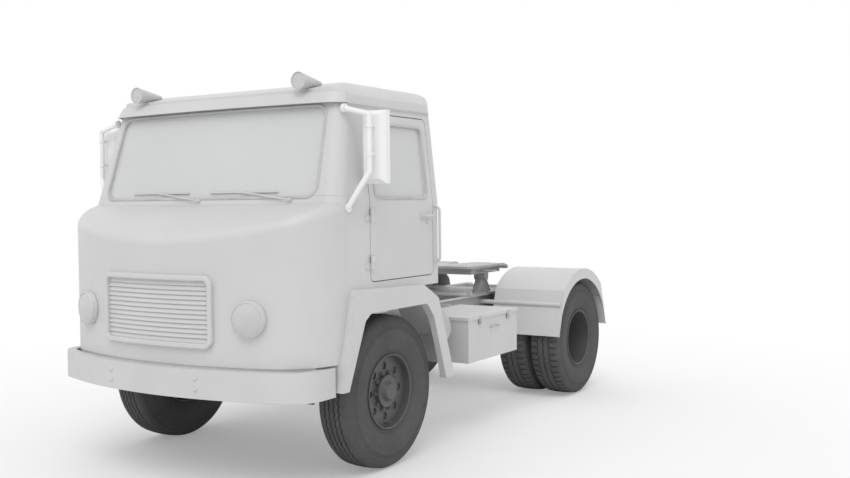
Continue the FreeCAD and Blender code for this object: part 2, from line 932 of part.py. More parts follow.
def rear_leg_points():
    """Free rear leg of the flare, below the cab."""
    return [
        (arch_rear_leg_y, flare_rear_leg_z, 0),
        (arch_rear_leg_y, flare_front_leg_z, 0),
        (arch_rear_room_y, flare_front_leg_z, 0),
        (flare_rear_leg_y, flare_rear_leg_z, 0),
    ]


def arch_lip(low):
    """Inner edge of the flare, close round the tyre."""
    return [
        (arch_front_leg_y, low - overrun, 0),
        (arch_front_leg_y, low, 0),
        (arch_front_knee_y, arch_front_knee_z, 0),
        (arch_front_top_y, arch_top_z, 0),
        (arch_rear_top_y, arch_top_z, 0),
        (arch_rear_knee_y, arch_rear_knee_z, 0),
        (arch_rear_leg_y, low, 0),
        (arch_rear_leg_y, low - overrun, 0),
    ]


def arch_room(grow, low):
    """Roomy wheelhouse outline, which the steered tyre turns inside."""
    return [
        (arch_front_room_y - grow, low, 0),
        (arch_front_room_y - grow, arch_shoulder_z, 0),
        (arch_front_top_y - arch_shoulder - grow / 2, arch_top_z + grow, 0),
        (arch_rear_top_y + arch_shoulder + grow / 2, arch_top_z + grow, 0),
        (arch_rear_room_y + grow, arch_shoulder_z, 0),
        (arch_rear_room_y + grow, low, 0),
    ]


def frame_rails():
    """Ladder frame: two channel rails open outwards, cross members, towers and spring hangers."""
    web = box(rail_web_x, rail_web_x + rail_wall, rail_front_y, rail_rear_y, rail_bottom, rail_top)
    low = box(rail_web_x, rail_outer_x, rail_front_y, rail_rear_y, rail_bottom, rail_bottom + rail_wall)
    high = box(rail_web_x, rail_outer_x, rail_front_y, rail_rear_y, rail_top - rail_wall, rail_top)
    parts = [web, low, high, mirrored(web), mirrored(low), mirrored(high)]
    for y in cross_places:
        outer = box(-rail_web_x, rail_web_x, y, y + cross_depth,
                    rail_bottom + rail_wall, rail_top - rail_wall)
        inner = box(-rail_web_x, rail_web_x, y + rail_wall, y + cross_depth,
                    rail_bottom + 2 * rail_wall, rail_top - 2 * rail_wall)
        parts.append(outer.cut(inner))
    half = mount_tower_width / 2
    for y in mount_tower_places:
        tower = box(rail_outer_x - mount_tower_width, rail_outer_x, y - half, y + half,
                    rail_top, floor_bottom - seat_gap)
        hollow = box(rail_outer_x - mount_tower_width + rail_wall, rail_outer_x - rail_wall,
                     y - half + rail_wall, y + half + overrun, rail_top, floor_bottom - rail_wall)
        tower = tower.cut(hollow)
        parts += [tower, mirrored(tower)]
    for y, z in hanger_places():
        plate = hanger(y, z)
        parts += [plate, mirrored(plate)]
    return fused(parts)


def hanger_places():
    """Centres of the eight spring eyes on one side."""
    front_z = front_pad_z + leaf_thickness * leaf_count + front_spring_rise
    rear_z = rear_pad_z + leaf_thickness * leaf_count + rear_spring_rise
    return [
        (-front_spring_half, front_z),
        (front_spring_half, front_z),
        (rear_axle_y - rear_spring_half, rear_z),
        (rear_axle_y + rear_spring_half, rear_z),
    ]


def hanger(y, z):
    """Two cheeks and a web below the rail, either side of a spring eye."""
    half = spring_eye_radius + rail_wall
    inner = spring_x - leaf_width / 2 - seat_gap
    outer = spring_x + leaf_width / 2 + seat_gap
    cheeks = []
    for x0, x1 in ((inner - rail_wall, inner), (outer, outer + rail_wall)):
        cheek = box(x0, x1, y - half, y + half, z, rail_bottom)
        cheeks.append(cheek.fuse(rod_x(x0, x1, y, z, half)))
    cap = box(inner - rail_wall, outer + rail_wall, y - half, y + half, rail_bottom - rail_wall, rail_bottom)
    return fused(cheeks + [cap])


def leaf_spring(middle_y, pad_z, half, rise):
    """Stepped pack of curved leaves with rolled eyes and its clamp plate."""
    radius = (half ** 2 + rise ** 2) / (2 * rise)
    pack_top = pad_z + leaf_thickness * leaf_count
    centre_z = pack_top + radius
    x0 = spring_x - leaf_width / 2
    leaves = []
    for index in range(leaf_count):
        outer = radius + leaf_thickness * (index + 1)
        inner = radius + leaf_thickness * index
        reach = half * (1 - index * leaf_step_share) / radius
        leaves.append(arc_band(x0, middle_y, centre_z, inner, outer, reach))
    eye_z = centre_z - math.sqrt(radius ** 2 - half ** 2)
    for side in (-1, 1):
        leaves.append(rod_x(x0, x0 + leaf_width, middle_y + side * half, eye_z, spring_eye_radius))
    plate = box(x0, x0 + leaf_width, middle_y - clamp_half, middle_y + clamp_half,
                pad_z + seat_gap, pack_top + leaf_thickness)
    return fused(leaves + [plate])


def arc_band(x0, y, z, inner, outer, reach):
    """Curved leaf hanging below its centre, from -reach to reach radians."""
    def at(radius, angle):
        return V(x0, y + radius * math.sin(angle), z - radius * math.cos(angle))
    edges = [
        Part.Arc(at(inner, -reach), at(inner, 0), at(inner, reach)),
        Part.LineSegment(at(inner, reach), at(outer, reach)),
        Part.Arc(at(outer, reach), at(outer, 0), at(outer, -reach)),
        Part.LineSegment(at(outer, -reach), at(inner, -reach)),
    ]
    face = Part.Face(Part.Wire([edge.toShape() for edge in edges]))
    return face.extrude(V(leaf_width, 0, 0))


def leaf_springs():
    front = leaf_spring(0, front_pad_z, front_spring_half, front_spring_rise)
    rear = leaf_spring(rear_axle_y, rear_pad_z, rear_spring_half, rear_spring_rise)
    return Part.makeCompound([front, mirrored(front), rear, mirrored(rear)])


def front_axle_beam():
    """Forged beam: dropped I-section between two king-pin bosses."""
    half = beam_depth / 2
    low = beam_top - beam_height
    neck_low = tyre_radius - boss_half + beam_drop / 2
    end = kingpin_x - boss_radius / 2
    points = [
        (-end, neck_low, 0), (-beam_neck_x, low, beam_depth), (beam_neck_x, low, beam_depth),
        (end, neck_low, 0), (end, tyre_radius + boss_half - beam_drop / 2, 0),
        (beam_neck_x, beam_top, beam_depth), (-beam_neck_x, beam_top, beam_depth),
        (-end, tyre_radius + boss_half - beam_drop / 2, 0),
    ]
    beam = front_prism(points, -half, half)
    flange = pocket_depth
    pocket = [
        (-spring_x + clamp_half, low + flange, flange / 2), (spring_x - clamp_half, low + flange, flange / 2),
        (spring_x - clamp_half, beam_top - flange, flange / 2),
        (-spring_x + clamp_half, beam_top - flange, flange / 2),
    ]
    for y0, y1 in ((-half - overrun, -half + pocket_depth), (half - pocket_depth, half + overrun)):
        beam = beam.cut(front_prism(pocket, y0, y1))
    for side in (-1, 1):
        boss = rod_z(tyre_radius - boss_half, tyre_radius + boss_half, side * kingpin_x, 0, boss_radius)
        beam = beam.fuse(boss)
    for side in (-1, 1):
        beam = beam.cut(rod_z(0, 2 * tyre_radius, side * kingpin_x, 0, kingpin_radius + kingpin_fit))
    return beam.removeSplitter()


def knuckle_left():
    """Fork round the boss, king pin, wheel spindle and steering arm."""
    x = kingpin_x
    top = tyre_radius + boss_half + fork_gap
    low = tyre_radius - boss_half - fork_gap
    parts = [rod_z(low - fork_arm, top + fork_arm, x, 0, kingpin_radius)]
    for z0 in (top, low - fork_arm):
        parts.append(rod_z(z0, z0 + fork_arm, x, 0, fork_radius))
        parts.append(box(x, flange_plate_x, -fork_radius, fork_radius, z0, z0 + fork_arm))
    parts.append(box(flange_plate_x, flange_plate_x + flange_plate, -flange_plate_half_y,
                     flange_plate_half_y, low - fork_arm, top + fork_arm))
    parts.append(rod_x(flange_plate_x, spindle_end_x, 0, tyre_radius, spindle_radius))
    arm_low = low - fork_arm
    parts.append(box(x - steer_arm_width / 2, x + steer_arm_width / 2, 0, steer_arm_reach,
                     arm_low, arm_low + steer_arm_thickness))
    parts.append(rod_z(arm_low, arm_low + steer_arm_thickness, x, steer_arm_reach, steer_arm_width / 2))
    ball_z = tie_rod_z() + tie_ball_radius
    parts.append(rod_z(ball_z, arm_low, x, steer_arm_reach, tie_pin_radius))
    return fused(parts)


def tie_rod_z():
    """Height of the tie rod, hung under the steering arms."""
    arm_low = tyre_radius - boss_half - fork_gap - fork_arm
    return arm_low - tie_ball_radius - fork_gap


def tie_rod():
    """Straight rod with an end socket under each steering arm."""
    z = tie_rod_z()
    parts = [rod_x(-kingpin_x, kingpin_x, steer_arm_reach, z, tie_rod_radius)]
    for side in (-1, 1):
        top = z + tie_ball_radius - seat_gap
        parts.append(rod_z(z - tie_ball_radius, top, side * kingpin_x, steer_arm_reach, tie_ball_radius))
    return fused(parts)


def profile_face(points):
    """Half section of (along, radius, bulge) points, closed, each bulge an arc to the next point."""
    edges = []
    count = len(points)
    for index in range(count):
        along, radius, bulge = points[index]
        next_along, next_radius, _ = points[(index + 1) % count]
        start = V(along, 0, radius)
        end = V(next_along, 0, next_radius)
        if bulge:
            run = end.sub(start)
            side = V(-run.z, 0, run.x).normalize()
            middle = start.add(end).multiply(1 / 2).add(side.multiply(bulge))
            edges.append(Part.Arc(start, middle, end).toShape())
        else:
            edges.append(Part.LineSegment(start, end).toShape())
    return Part.Face(Part.Wire(edges))


def cap_bulge(radius, rise):
    """Bulge of the arc from the edge of a spherical cap to its top."""
    sphere = (radius ** 2 + rise ** 2) / (2 * rise)
    chord = math.hypot(radius, rise)
    return sphere - math.sqrt(sphere ** 2 - chord ** 2 / 4)


def revolved_x(points, x, y, z):
    """Solid turned about the x axis through a place."""
    solid = profile_face(points).revolve(V(0, 0, 0), V(1, 0, 0), 360)
    solid.translate(V(x, y, z))
    return solid


def revolved_along(points, origin, direction):
    """Solid turned about a line from an origin."""
    solid = profile_face(points).revolve(V(0, 0, 0), V(1, 0, 0), 360)
    solid.Placement = FreeCAD.Placement(origin, FreeCAD.Rotation(V(1, 0, 0), direction))
    return solid


def tyre(inner_x, width, y):
    """Tyre with bulged walls, rounded shoulders and a slightly crowned tread."""
    shoulder = tyre_radius - shoulder_drop
    hollow = bead_radius + rim_wall
    points = [
        (bead_inset, bead_radius, 0),
        (0, bead_radius + (shoulder - bead_radius) * wall_height_share, 0),
        (shoulder_inset / 2, shoulder, 0),
        (shoulder_inset * 2, tyre_radius - tread_crown / 2, 0),
        (width / 2, tyre_radius, 0),
        (width - shoulder_inset * 2, tyre_radius - tread_crown / 2, 0),
        (width - shoulder_inset / 2, shoulder, 0),
        (width, bead_radius + (shoulder - bead_radius) * wall_height_share, 0),
        (width - bead_inset, bead_radius, 0),
        (width - bead_inset - rim_wall, hollow, 0),
        (bead_inset + rim_wall, hollow, 0),
    ]
    return revolved_x(points, inner_x, y, tyre_radius)


def front_tyre_left():
    return tyre(front_wheel_inner, front_tyre_width, 0)


def rear_tyres_left():
    inner = rear_track_outer - rear_tyre_width
    first = tyre(inner, rear_tyre_width, rear_axle_y)
    second = tyre(inner - twin_gap - rear_tyre_width, rear_tyre_width, rear_axle_y)
    return Part.makeCompound([first, second])


def rim(inner_x, width, dish, y):
    """Drop-centre rim with its flanges and a dished disc with hand holes."""
    outer = bead_radius - seat_gap
    edge = bead_inset - rim_flange / 2
    barrel = [
        (edge, outer - rim_wall, 0),
        (edge, outer, 0),
        (width - edge, outer, 0),
        (width - edge, outer - rim_wall, 0),
    ]
    face_x = width - dish
    disc = [
        (face_x - disc_thickness, spindle_radius + spindle_fit, 0),
        (face_x - disc_thickness, outer - rim_wall / 2, 0),
        (face_x, outer - rim_wall / 2, 0),
        (face_x, spindle_radius + spindle_fit, 0),
    ]
    solid = fused([revolved_x(barrel, inner_x, y, tyre_radius), revolved_x(disc, inner_x, y, tyre_radius)])
    for index in range(hand_hole_count):
        angle = 2 * math.pi * index / hand_hole_count
        hole_y = y + hand_hole_circle * math.cos(angle)
        hole_z = tyre_radius + hand_hole_circle * math.sin(angle)
        hole = rod_x(inner_x + face_x - disc_thickness - overrun, inner_x + face_x + overrun,
                     hole_y, hole_z, hand_hole_radius)
        solid = solid.cut(hole)
    return solid


def hub(face_x, y, inner_x):
    """Brake drum, hub barrel and cap, closed at the outer end."""
    bore = spindle_radius + spindle_fit
    reach = face_x - disc_thickness - inner_x
    points = [
        (0, drum_radius - drum_wall, 0),
        (0, drum_radius, 0),
        (reach, drum_radius, 0),
        (reach, drum_radius - drum_wall, 0),
    ]
    back = [
        (reach - drum_wall, bore, 0),
        (reach - drum_wall, drum_radius, 0),
        (reach, drum_radius, 0),
        (reach, bore, 0),
    ]
    barrel = [
        (reach - drum_wall, bore, 0),
        (reach - drum_wall, hub_radius, 0),
        (reach + disc_thickness + hub_projection / 2, hub_radius, 0),
        (reach + disc_thickness + hub_projection / 2, hub_cap_radius, 0),
        (reach + disc_thickness + hub_projection, hub_cap_radius - hub_projection / 4, 0),
        (reach + disc_thickness + hub_projection, 0, 0),
        (reach + disc_thickness + hub_projection / 2, 0, 0),
        (reach + disc_thickness + hub_projection / 2, bore, 0),
    ]
    return fused([revolved_x(points, inner_x, y, tyre_radius), revolved_x(back, inner_x, y, tyre_radius),
                  revolved_x(barrel, inner_x, y, tyre_radius)])


def front_rim_left():
    face_x = front_track_outer - front_dish_depth
    wheel = rim(front_wheel_inner, front_tyre_width, front_dish_depth, 0)
    return fused([wheel, hub(face_x, 0, face_x - disc_thickness - drum_length)])


def dished_disc(mid_x, side):
    """Cone-shaped disc from the mounting face at mid_x out to its rim barrel."""
    outer = bead_radius - seat_gap - rim_wall / 2
    bore = spindle_radius + spindle_fit
    flat = hub_radius + dish_flat
    reach = dish_reach
    points = [
        (0, bore, 0), (0, flat, 0), (reach, outer, 0),
        (reach + disc_thickness, outer, 0), (disc_thickness, flat, 0), (disc_thickness, bore, 0),
    ]
    return revolved_x([(side * across, radius, 0) for across, radius, _ in points],
                      mid_x, rear_axle_y, tyre_radius)


def rim_barrel(inner_x, width):
    """Rim barrel between the beads of one tyre."""
    outer = bead_radius - seat_gap
    edge = bead_inset - rim_flange / 2
    points = [
        (edge, outer - rim_wall, 0), (edge, outer, 0),
        (width - edge, outer, 0), (width - edge, outer - rim_wall, 0),
    ]
    return revolved_x(points, inner_x, rear_axle_y, tyre_radius)


def rear_rims_left():
    """Twin rims bolted back to back on one hub and drum."""
    inner = rear_track_outer - rear_tyre_width
    second = inner - twin_gap - rear_tyre_width
    middle = inner - twin_gap / 2
    parts = [
        rim_barrel(inner, rear_tyre_width), rim_barrel(second, rear_tyre_width),
        dished_disc(middle, 1), dished_disc(middle, -1),
    ]
    drum = hub(middle + disc_thickness, rear_axle_y, middle - drum_length)
    wheel = fused(parts)
    for index in range(hand_hole_count):
        angle = 2 * math.pi * index / hand_hole_count
        reach = (hub_radius + dish_flat + bead_radius) / 2
        hole = rod_x(middle - 2 * dish_reach, middle + 2 * dish_reach, rear_axle_y + reach * math.cos(angle),
                     tyre_radius + reach * math.sin(angle), hand_hole_radius)
        wheel = wheel.cut(hole)
    return fused([wheel, drum])


def rear_axle_housing():
    """Banjo housing, axle tubes, spindles and the pinion nose."""
    z = tyre_radius
    parts = [
        rod_x(-axle_tube_half, axle_tube_half, rear_axle_y, z, axle_tube_radius),
        rod_x(-spindle_reach, spindle_reach, rear_axle_y, z, spindle_radius),
    ]
    bulge = [
        (-diff_half_width, 0, 0), (-diff_half_width, axle_tube_radius, 0),
        (-diff_half_width / 2, diff_radius, 0), (diff_half_width / 2, diff_radius, 0),
        (diff_half_width, axle_tube_radius, 0), (diff_half_width, 0, 0),
    ]
    parts.append(revolved_x(bulge, 0, rear_axle_y, z))
    parts.append(rod_y(rear_axle_y - pinion_nose, rear_axle_y, 0, z, pinion_radius))
    for side in (-1, 1):
        pad = box(side * spring_x - leaf_width / 2, side * spring_x + leaf_width / 2,
                  rear_axle_y - clamp_half, rear_axle_y + clamp_half, z, rear_pad_z)
        parts.append(pad)
    return fused(parts)


def engine_block():
    """Engine as one plain block on its sump, with the gearbox behind it."""
    block = box(-engine_half_width, engine_half_width, engine_front_y, engine_rear_y,
                beam_top + engine_lift, engine_top)
    bell = Part.makeCone(engine_bell_radius, gearbox_radius, gearbox_bell_length,
                         V(0, engine_rear_y, crank_z), V(0, 1, 0))
    tail_y = engine_rear_y + gearbox_bell_length
    case = rod_y(tail_y, gearbox_end_y - tail_length, 0, crank_z, gearbox_radius)
    tail = rod_y(gearbox_end_y - tail_length, gearbox_end_y, 0, crank_z, gearbox_tail_radius)
    parts = [block, bell, case, tail]
    for side in (-1, 1):
        foot_x0 = min(side * engine_half_width, side * (rail_web_x - seat_gap))
        foot_x1 = max(side * engine_half_width, side * (rail_web_x - seat_gap))
        for y in engine_foot_places:
            parts.append(box(foot_x0, foot_x1, y, y + cross_depth, rail_bottom, rail_bottom + cross_depth))
    return fused(parts)


def propshaft():
    """Tubular shaft with a joint flange at each end."""
    start = V(0, gearbox_end_y + seat_gap, crank_z)
    end = V(0, rear_axle_y - pinion_nose - seat_gap, tyre_radius)
    first = start.add(V(0, prop_flange, 0))
    last = end.sub(V(0, prop_flange, 0))
    parts = [
        rod_y(start.y, first.y, 0, start.z, prop_yoke),
        rod_y(last.y, end.y, 0, end.z, prop_yoke),
        rod_between(V(0, first.y - prop_flange / 2, first.z), V(0, last.y + prop_flange / 2, last.z),
                    prop_radius),
    ]
    return fused(parts)


def radiator():
    """Finned core between top and bottom tanks, standing on the front cross member."""
    y0 = cross_places[0]
    low = rail_top - rail_wall + seat_gap
    core = box(-radiator_half_width + radiator_tank / 4, radiator_half_width - radiator_tank / 4,
               y0 + radiator_depth / 6, y0 + radiator_depth * 5 / 6, low + radiator_tank,
               radiator_top - radiator_tank)
    tanks = [
        box(-radiator_half_width, radiator_half_width, y0, y0 + radiator_depth, low, low + radiator_tank),
        box(-radiator_half_width, radiator_half_width, y0, y0 + radiator_depth,
            radiator_top - radiator_tank, radiator_top),
    ]
    return fused([core] + tanks)


def battery_box():
    """Tool and battery box beside the left rail, with an overhanging lid and a hanger."""
    x0 = box_outer_x - box_width
    y1 = box_front_y + box_length
    body = box(x0, box_outer_x, box_front_y, y1, box_bottom, box_top - box_lid)
    lid = box(x0 - box_lid_lip, box_outer_x + box_lid_lip, box_front_y - box_lid_lip, y1 + box_lid_lip,
              box_top - box_lid, box_top)
    parts = [body, lid]
    for share in bracket_shares:
        y = box_front_y + box_length * share
        parts.append(bracket(x0, y, box_bottom + box_lid))
    return fused(parts)


def bracket(outer_x, y, low):
    """Upright bracket from the rail web out to a tank or box."""
    return box(rail_web_x + rail_wall + seat_gap, outer_x, y - bracket_thickness / 2,
               y + bracket_thickness / 2, max(low, rail_bottom + rail_wall + seat_gap),
               rail_top - rail_wall - seat_gap)


def domed_tank(length, radius, dome):
    """Profile of a cylinder with dished ends, along x from zero."""
    shoulder = radius * dome_share
    return [
        (0, 0, 0), (0, shoulder, 0), (dome, radius, 0),
        (length - dome, radius, 0), (length, shoulder, 0), (length, 0, 0),
    ]


def air_tank():
    """Transverse air reservoir with dished ends, on a bracket outside the left rail."""
    length = air_tank_outer_x - air_tank_inner_x
    tank = revolved_x(domed_tank(length, air_tank_radius, tank_dome), air_tank_inner_x,
                      air_tank_y, air_tank_z)
    return fused([tank, bracket(air_tank_inner_x + tank_dome, air_tank_y, air_tank_z - tank_dome)])


def fuel_tank():
    """Rounded fuel tank beside the right rail, with straps, cap and brackets."""
    x1 = box_outer_x - box_width
    y1 = box_front_y + box_length
    tank = front_prism([(x1, box_bottom, tank_corner), (box_outer_x, box_bottom, tank_corner),
                        (box_outer_x, box_top, tank_corner), (x1, box_top, tank_corner)], box_front_y, y1)
    parts = [tank]
    out = tank_strap_thickness
    for share in bracket_shares:
        y = box_front_y + box_length * share
        band = front_prism([(x1 - out, box_bottom - out, tank_corner), (box_outer_x + out, box_bottom - out,
                            tank_corner), (box_outer_x + out, box_top + out, tank_corner),
                            (x1 - out, box_top + out, tank_corner)], y - tank_strap / 2, y + tank_strap / 2)
        parts += [band, bracket(x1, y, box_bottom + tank_corner)]
    cap_y = box_front_y + box_length * tank_cap_share
    parts.append(rod_z(box_top - out, box_top + tank_cap_height, box_outer_x - box_width / 2, cap_y,
                       tank_cap_radius))
    return mirrored(fused(parts))


def exhaust():
    """Pipe along the engine and gearbox, transverse silencer and tail pipe on the right side."""
    length = air_tank_outer_x - air_tank_inner_x
    tank = revolved_x(domed_tank(length, silencer_radius, tank_dome), -air_tank_outer_x,
                      air_tank_y, silencer_z)
    run_x = -engine_half_width - seat_gap - pipe_radius
    pipe_z = rail_bottom - pipe_radius * 2
    start_y = manifold_y + pipe_run
    run = rod_y(start_y, air_tank_y, run_x, pipe_z, pipe_radius)
    elbow = Part.makeSphere(pipe_radius, V(run_x, air_tank_y, pipe_z))
    across = rod_x(-air_tank_inner_x - 2 * tank_dome, run_x, air_tank_y, pipe_z, pipe_radius)
    collector = box(run_x, -engine_half_width - seat_gap, manifold_y, start_y,
                    pipe_z - pipe_radius, pipe_z + pipe_radius)
    tail_x = -air_tank_outer_x + silencer_radius
    tail = rod_z(silencer_z - tail_pipe_drop, silencer_z, tail_x, air_tank_y, pipe_radius)
    hanger_plate = mirrored(bracket(air_tank_inner_x + tank_dome, air_tank_y, silencer_z))
    return fused([tank, run, elbow, across, collector, tail, hanger_plate])


def fifth_wheel_base():
    """Sub-plate on the rails with two pedestals that carry the pivot pins."""
    front = coupling_y - coupling_half_length * base_front_share
    rear = coupling_y + coupling_half_length * base_front_share
    plate = box(-rail_outer_x, rail_outer_x, front, rear,
                rail_top + seat_gap, rail_top + seat_gap + base_plate)
    parts = [plate]
    foot_z = rail_top + seat_gap + base_plate
    for side in (-1, 1):
        low, high = sorted((side * (pivot_x - pivot_block / 2), side * (pivot_x + pivot_block / 2)))
        points = [
            (coupling_y - pedestal_foot, foot_z, 0), (coupling_y + pedestal_foot, foot_z, 0),
            (coupling_y + pivot_block / 2, pivot_z, 0),
            (coupling_y + pivot_block / 2, pivot_z + pivot_block / 2,
                                                         pivot_block / 4),
            (coupling_y - pivot_block / 2, pivot_z + pivot_block / 2, pivot_block / 4),
            (coupling_y - pivot_block / 2, pivot_z, 0),
        ]
        parts.append(side_prism(points, low, high))
        parts.append(rod_x(low - pivot_pin_out, high + pivot_pin_out, coupling_y, pivot_z, pivot_radius))
    return fused(parts)


def fifth_wheel_plate():
    """Coupling plate with sloping rear ramps, entry throat, jaw bore, skirt and pivot lugs."""
    top = coupling_top
    low = top - coupling_plate
    half = coupling_half_width
    front = coupling_y - coupling_half_length * plate_front_share
    rear = coupling_y + coupling_half_length
    ramp = rear - ramp_length
    corner = coupling_corner
    profile = [(front, low, 0), (ramp, low, 0), (rear, low - ramp_drop, 0),
               (rear, top - ramp_drop, 0), (ramp, top, 0), (front, top, 0)]
    outline = [(-half, front, corner), (half, front, corner), (half, rear, corner), (-half, rear, corner)]
    plate = side_prism(profile, -half, half)
    plate = plate.common(plan_prism(outline, low - 2 * ramp_drop, top + overrun))
    skirt = low - coupling_skirt
    parts = [plate, rod_z(skirt, low, 0, coupling_y, jaw_block_radius)]
    wall = coupling_wall
    for x in (-half + corner / 2, half - corner / 2 - wall):
        parts.append(box(x, x + wall, front + corner, ramp, skirt, low))
    parts.append(box(-half + corner / 2, half - corner / 2, front + corner, front + corner + wall,
                     skirt, low))
    for side in (-1, 1):
        for x in (pivot_x - pivot_block / 2 - lug_gap - wall, pivot_x + pivot_block / 2 + lug_gap):
            x0, x1 = sorted((side * x, side * (x + wall)))
            lug = box(x0, x1, coupling_y - pivot_block / 2, coupling_y + pivot_block / 2, pivot_z, low)
            lug = lug.fuse(rod_x(x0, x1, coupling_y, pivot_z, pivot_block / 2))
            parts.append(lug)
    plate = fused(parts)
    throat = plan_prism([(-throat_start, coupling_y + throat_reach, 0),
                         (throat_start, coupling_y + throat_reach, 0),
                         (throat_half, rear + overrun, 0), (-throat_half, rear + overrun, 0)],
                        skirt - overrun, top + overrun)
    plate = plate.cut(throat)
    plate = plate.cut(rod_z(skirt - overrun, top + overrun, 0, coupling_y, jaw_bore_radius))
    reach = pivot_x + pivot_block + pivot_pin_out
    for side in (-1, 1):
        x0, x1 = sorted((side * (pivot_x - pivot_block), side * reach))
        plate = plate.cut(rod_x(x0, x1, coupling_y, pivot_z, pivot_radius + pivot_fit))
    return plate.removeSplitter()


def guard_outline(grow, z_low):
    """Semi-round outline of the rear mudguard, as a wire of legs and one arc."""
    y = rear_axle_y
    leg = guard_leg_half + grow
    knee = guard_knee_half + grow * guard_knee_share
    knee_z = guard_knee_z + grow * guard_knee_share
    crown = tyre_radius + guard_radius + grow
    edges = [
        Part.LineSegment(V(0, y - leg, z_low), V(0, y - knee, knee_z)),
        Part.Arc(V(0, y - knee, knee_z), V(0, y, crown), V(0, y + knee, knee_z)),
        Part.LineSegment(V(0, y + knee, knee_z), V(0, y + leg, z_low)),
        Part.LineSegment(V(0, y + leg, z_low), V(0, y - leg, z_low)),
    ]
    return Part.Wire([edge.toShape() for edge in edges])


def guard_slab(grow, z_low, x0, x1):
    face = Part.Face(guard_outline(grow, z_low))
    face.translate(V(x0, 0, 0))
    return face.extrude(V(x1 - x0, 0, 0))


def rear_mudguard_left():
    """Semi-round sheet over the twin tyres, with its outer valance and two stays."""
    z = guard_leg_z
    sheet = guard_slab(0, z, guard_inner_x, guard_outer_x)
    sheet = sheet.cut(guard_slab(-guard_sheet, z, guard_inner_x - overrun, guard_outer_x + overrun))
    valance = guard_slab(0, z, guard_outer_x - guard_sheet, guard_outer_x)
    hole = rod_x(guard_outer_x - 2 * overrun, guard_outer_x + overrun, rear_axle_y, tyre_radius,
                 guard_valance_radius)
    below = box(guard_outer_x - 2 * overrun, guard_outer_x + overrun, rear_axle_y - guard_valance_radius,
                rear_axle_y + guard_valance_radius, 0, tyre_radius)
    valance = valance.cut(hole.fuse(below))
    parts = [sheet, valance]
    for side in (-1, 1):
        y = rear_axle_y + side * (guard_knee_half + stay_out)
        parts.append(rod_x(rail_web_x + rail_wall + seat_gap, guard_outer_x - overrun,
                           y, stay_z, stay_radius))
    return fused(parts)


def tail_lamps():
    """Lamp housings on arms from the rear ends of the rails."""
    y1 = rear_end_y
    y0 = y1 - tail_lamp_depth
    low = tail_lamp_z - tail_lamp_height / 2
    high = tail_lamp_z + tail_lamp_height / 2
    half = tail_lamp_width / 2
    lamp = front_prism([(tail_lamp_x - half, low, tail_lamp_corner),
                        (tail_lamp_x + half, low, tail_lamp_corner),
                        (tail_lamp_x + half, high, tail_lamp_corner),
                        (tail_lamp_x - half, high, tail_lamp_corner)], y0, y1)
    arm = box(rail_web_x + rail_wall + seat_gap, tail_lamp_x + half / 2, y0 - bracket_thickness, y0,
              low + tail_lamp_corner, high - tail_lamp_corner)
    foot = box(rail_web_x + rail_wall + seat_gap, rail_web_x + rail_wall + seat_gap + bracket_thickness,
               rail_rear_y - hanger_length, y0, low + tail_lamp_corner, high - tail_lamp_corner)
    return both_sides(fused([lamp, arm, foot]))


def bumper_form(inset, z0, z1):
    rear = bumper_end_y + overrun + inset
    wire = bowed_wire(bumper_half_width, -front_overhang, bumper_bow, bumper_corner,
                      rear, seat_gap, inset, plan_place(z0))
    return Part.Face(wire).extrude(V(0, 0, z1 - z0))


def front_bumper():
    """Deep bowed channel wrapped round the front corners, on two brackets."""
    body = bumper_form(0, bumper_bottom, bumper_top)
    body = body.cut(bumper_form(bumper_wall, bumper_bottom + bumper_wall, bumper_top - bumper_wall))
    wide = bumper_half_width + overrun
    core = bumper_form(bumper_lip, bumper_bottom - overrun, bumper_top + overrun)
    body = body.cut(core)
    tail = box(-wide, wide, bumper_end_y, 0, bumper_bottom - overrun, bumper_top + overrun)
    body = body.cut(tail)
    parts = [body]
    top = rail_bottom - seat_gap
    for side in (-1, 1):
        x0, x1 = sorted((side * rail_web_x, side * rail_outer_x))
        front = bumper_bracket_y(rail_outer_x)
        parts.append(box(x0, x1, front, rail_front_y + hanger_length, top - bumper_bracket_height, top))
    return fused(parts)


def bumper_bracket_y(x):
    """Inner face of the bumper channel at x."""
    inner = bumper_bow - bumper_wall / 2
    return bumper_bow - front_overhang - math.sqrt(inner ** 2 - x ** 2)


def cab_floor():
    """Cab floor, open in the middle for the engine tunnel."""
    slab = cab_plan(cab_wall + seat_gap, floor_bottom, floor_top)
    return slab.cut(tunnel_form(-seat_gap, cab_front_y - overrun, tunnel_rear_y + seat_gap))


def engine_tunnel():
    """Cover over the engine: an arch closed at its rear end."""
    outer = tunnel_form(0, cab_front_y, tunnel_rear_y)
    inner = tunnel_form(tunnel_wall, cab_front_y - overrun, tunnel_rear_y - tunnel_wall)
    within = cab_plan(cab_wall + seat_gap, floor_bottom - overrun, tunnel_top + overrun)
    return outer.common(within).cut(inner)


def seat_boxes():
    """Sheet box under each seat, open below."""
    low = floor_top + seat_gap
    y0 = seat_front_y + seat_base_inset
    y1 = seat_front_y + seat_depth
    half = seat_width / 2 - seat_base_inset
    x0 = seat_x - half
    x1 = seat_x + half
    shell = box(x0, x1, y0, y1, low, seat_base_top)
    hollow = box(x0 + tunnel_wall, x1 - tunnel_wall, y0 + tunnel_wall, y1 - tunnel_wall,
                 low - overrun, seat_base_top - tunnel_wall)
    return both_sides(shell.cut(hollow))


def tunnel_form(inset, y0, y1):
    half = tunnel_half - inset
    radius = tunnel_round - inset
    low = floor_bottom - overrun * 2 if inset else floor_bottom
    return front_prism([(-half, low, 0), (half, low, 0), (half, tunnel_top - inset, radius),
                        (-half, tunnel_top - inset, radius)], y0, y1)


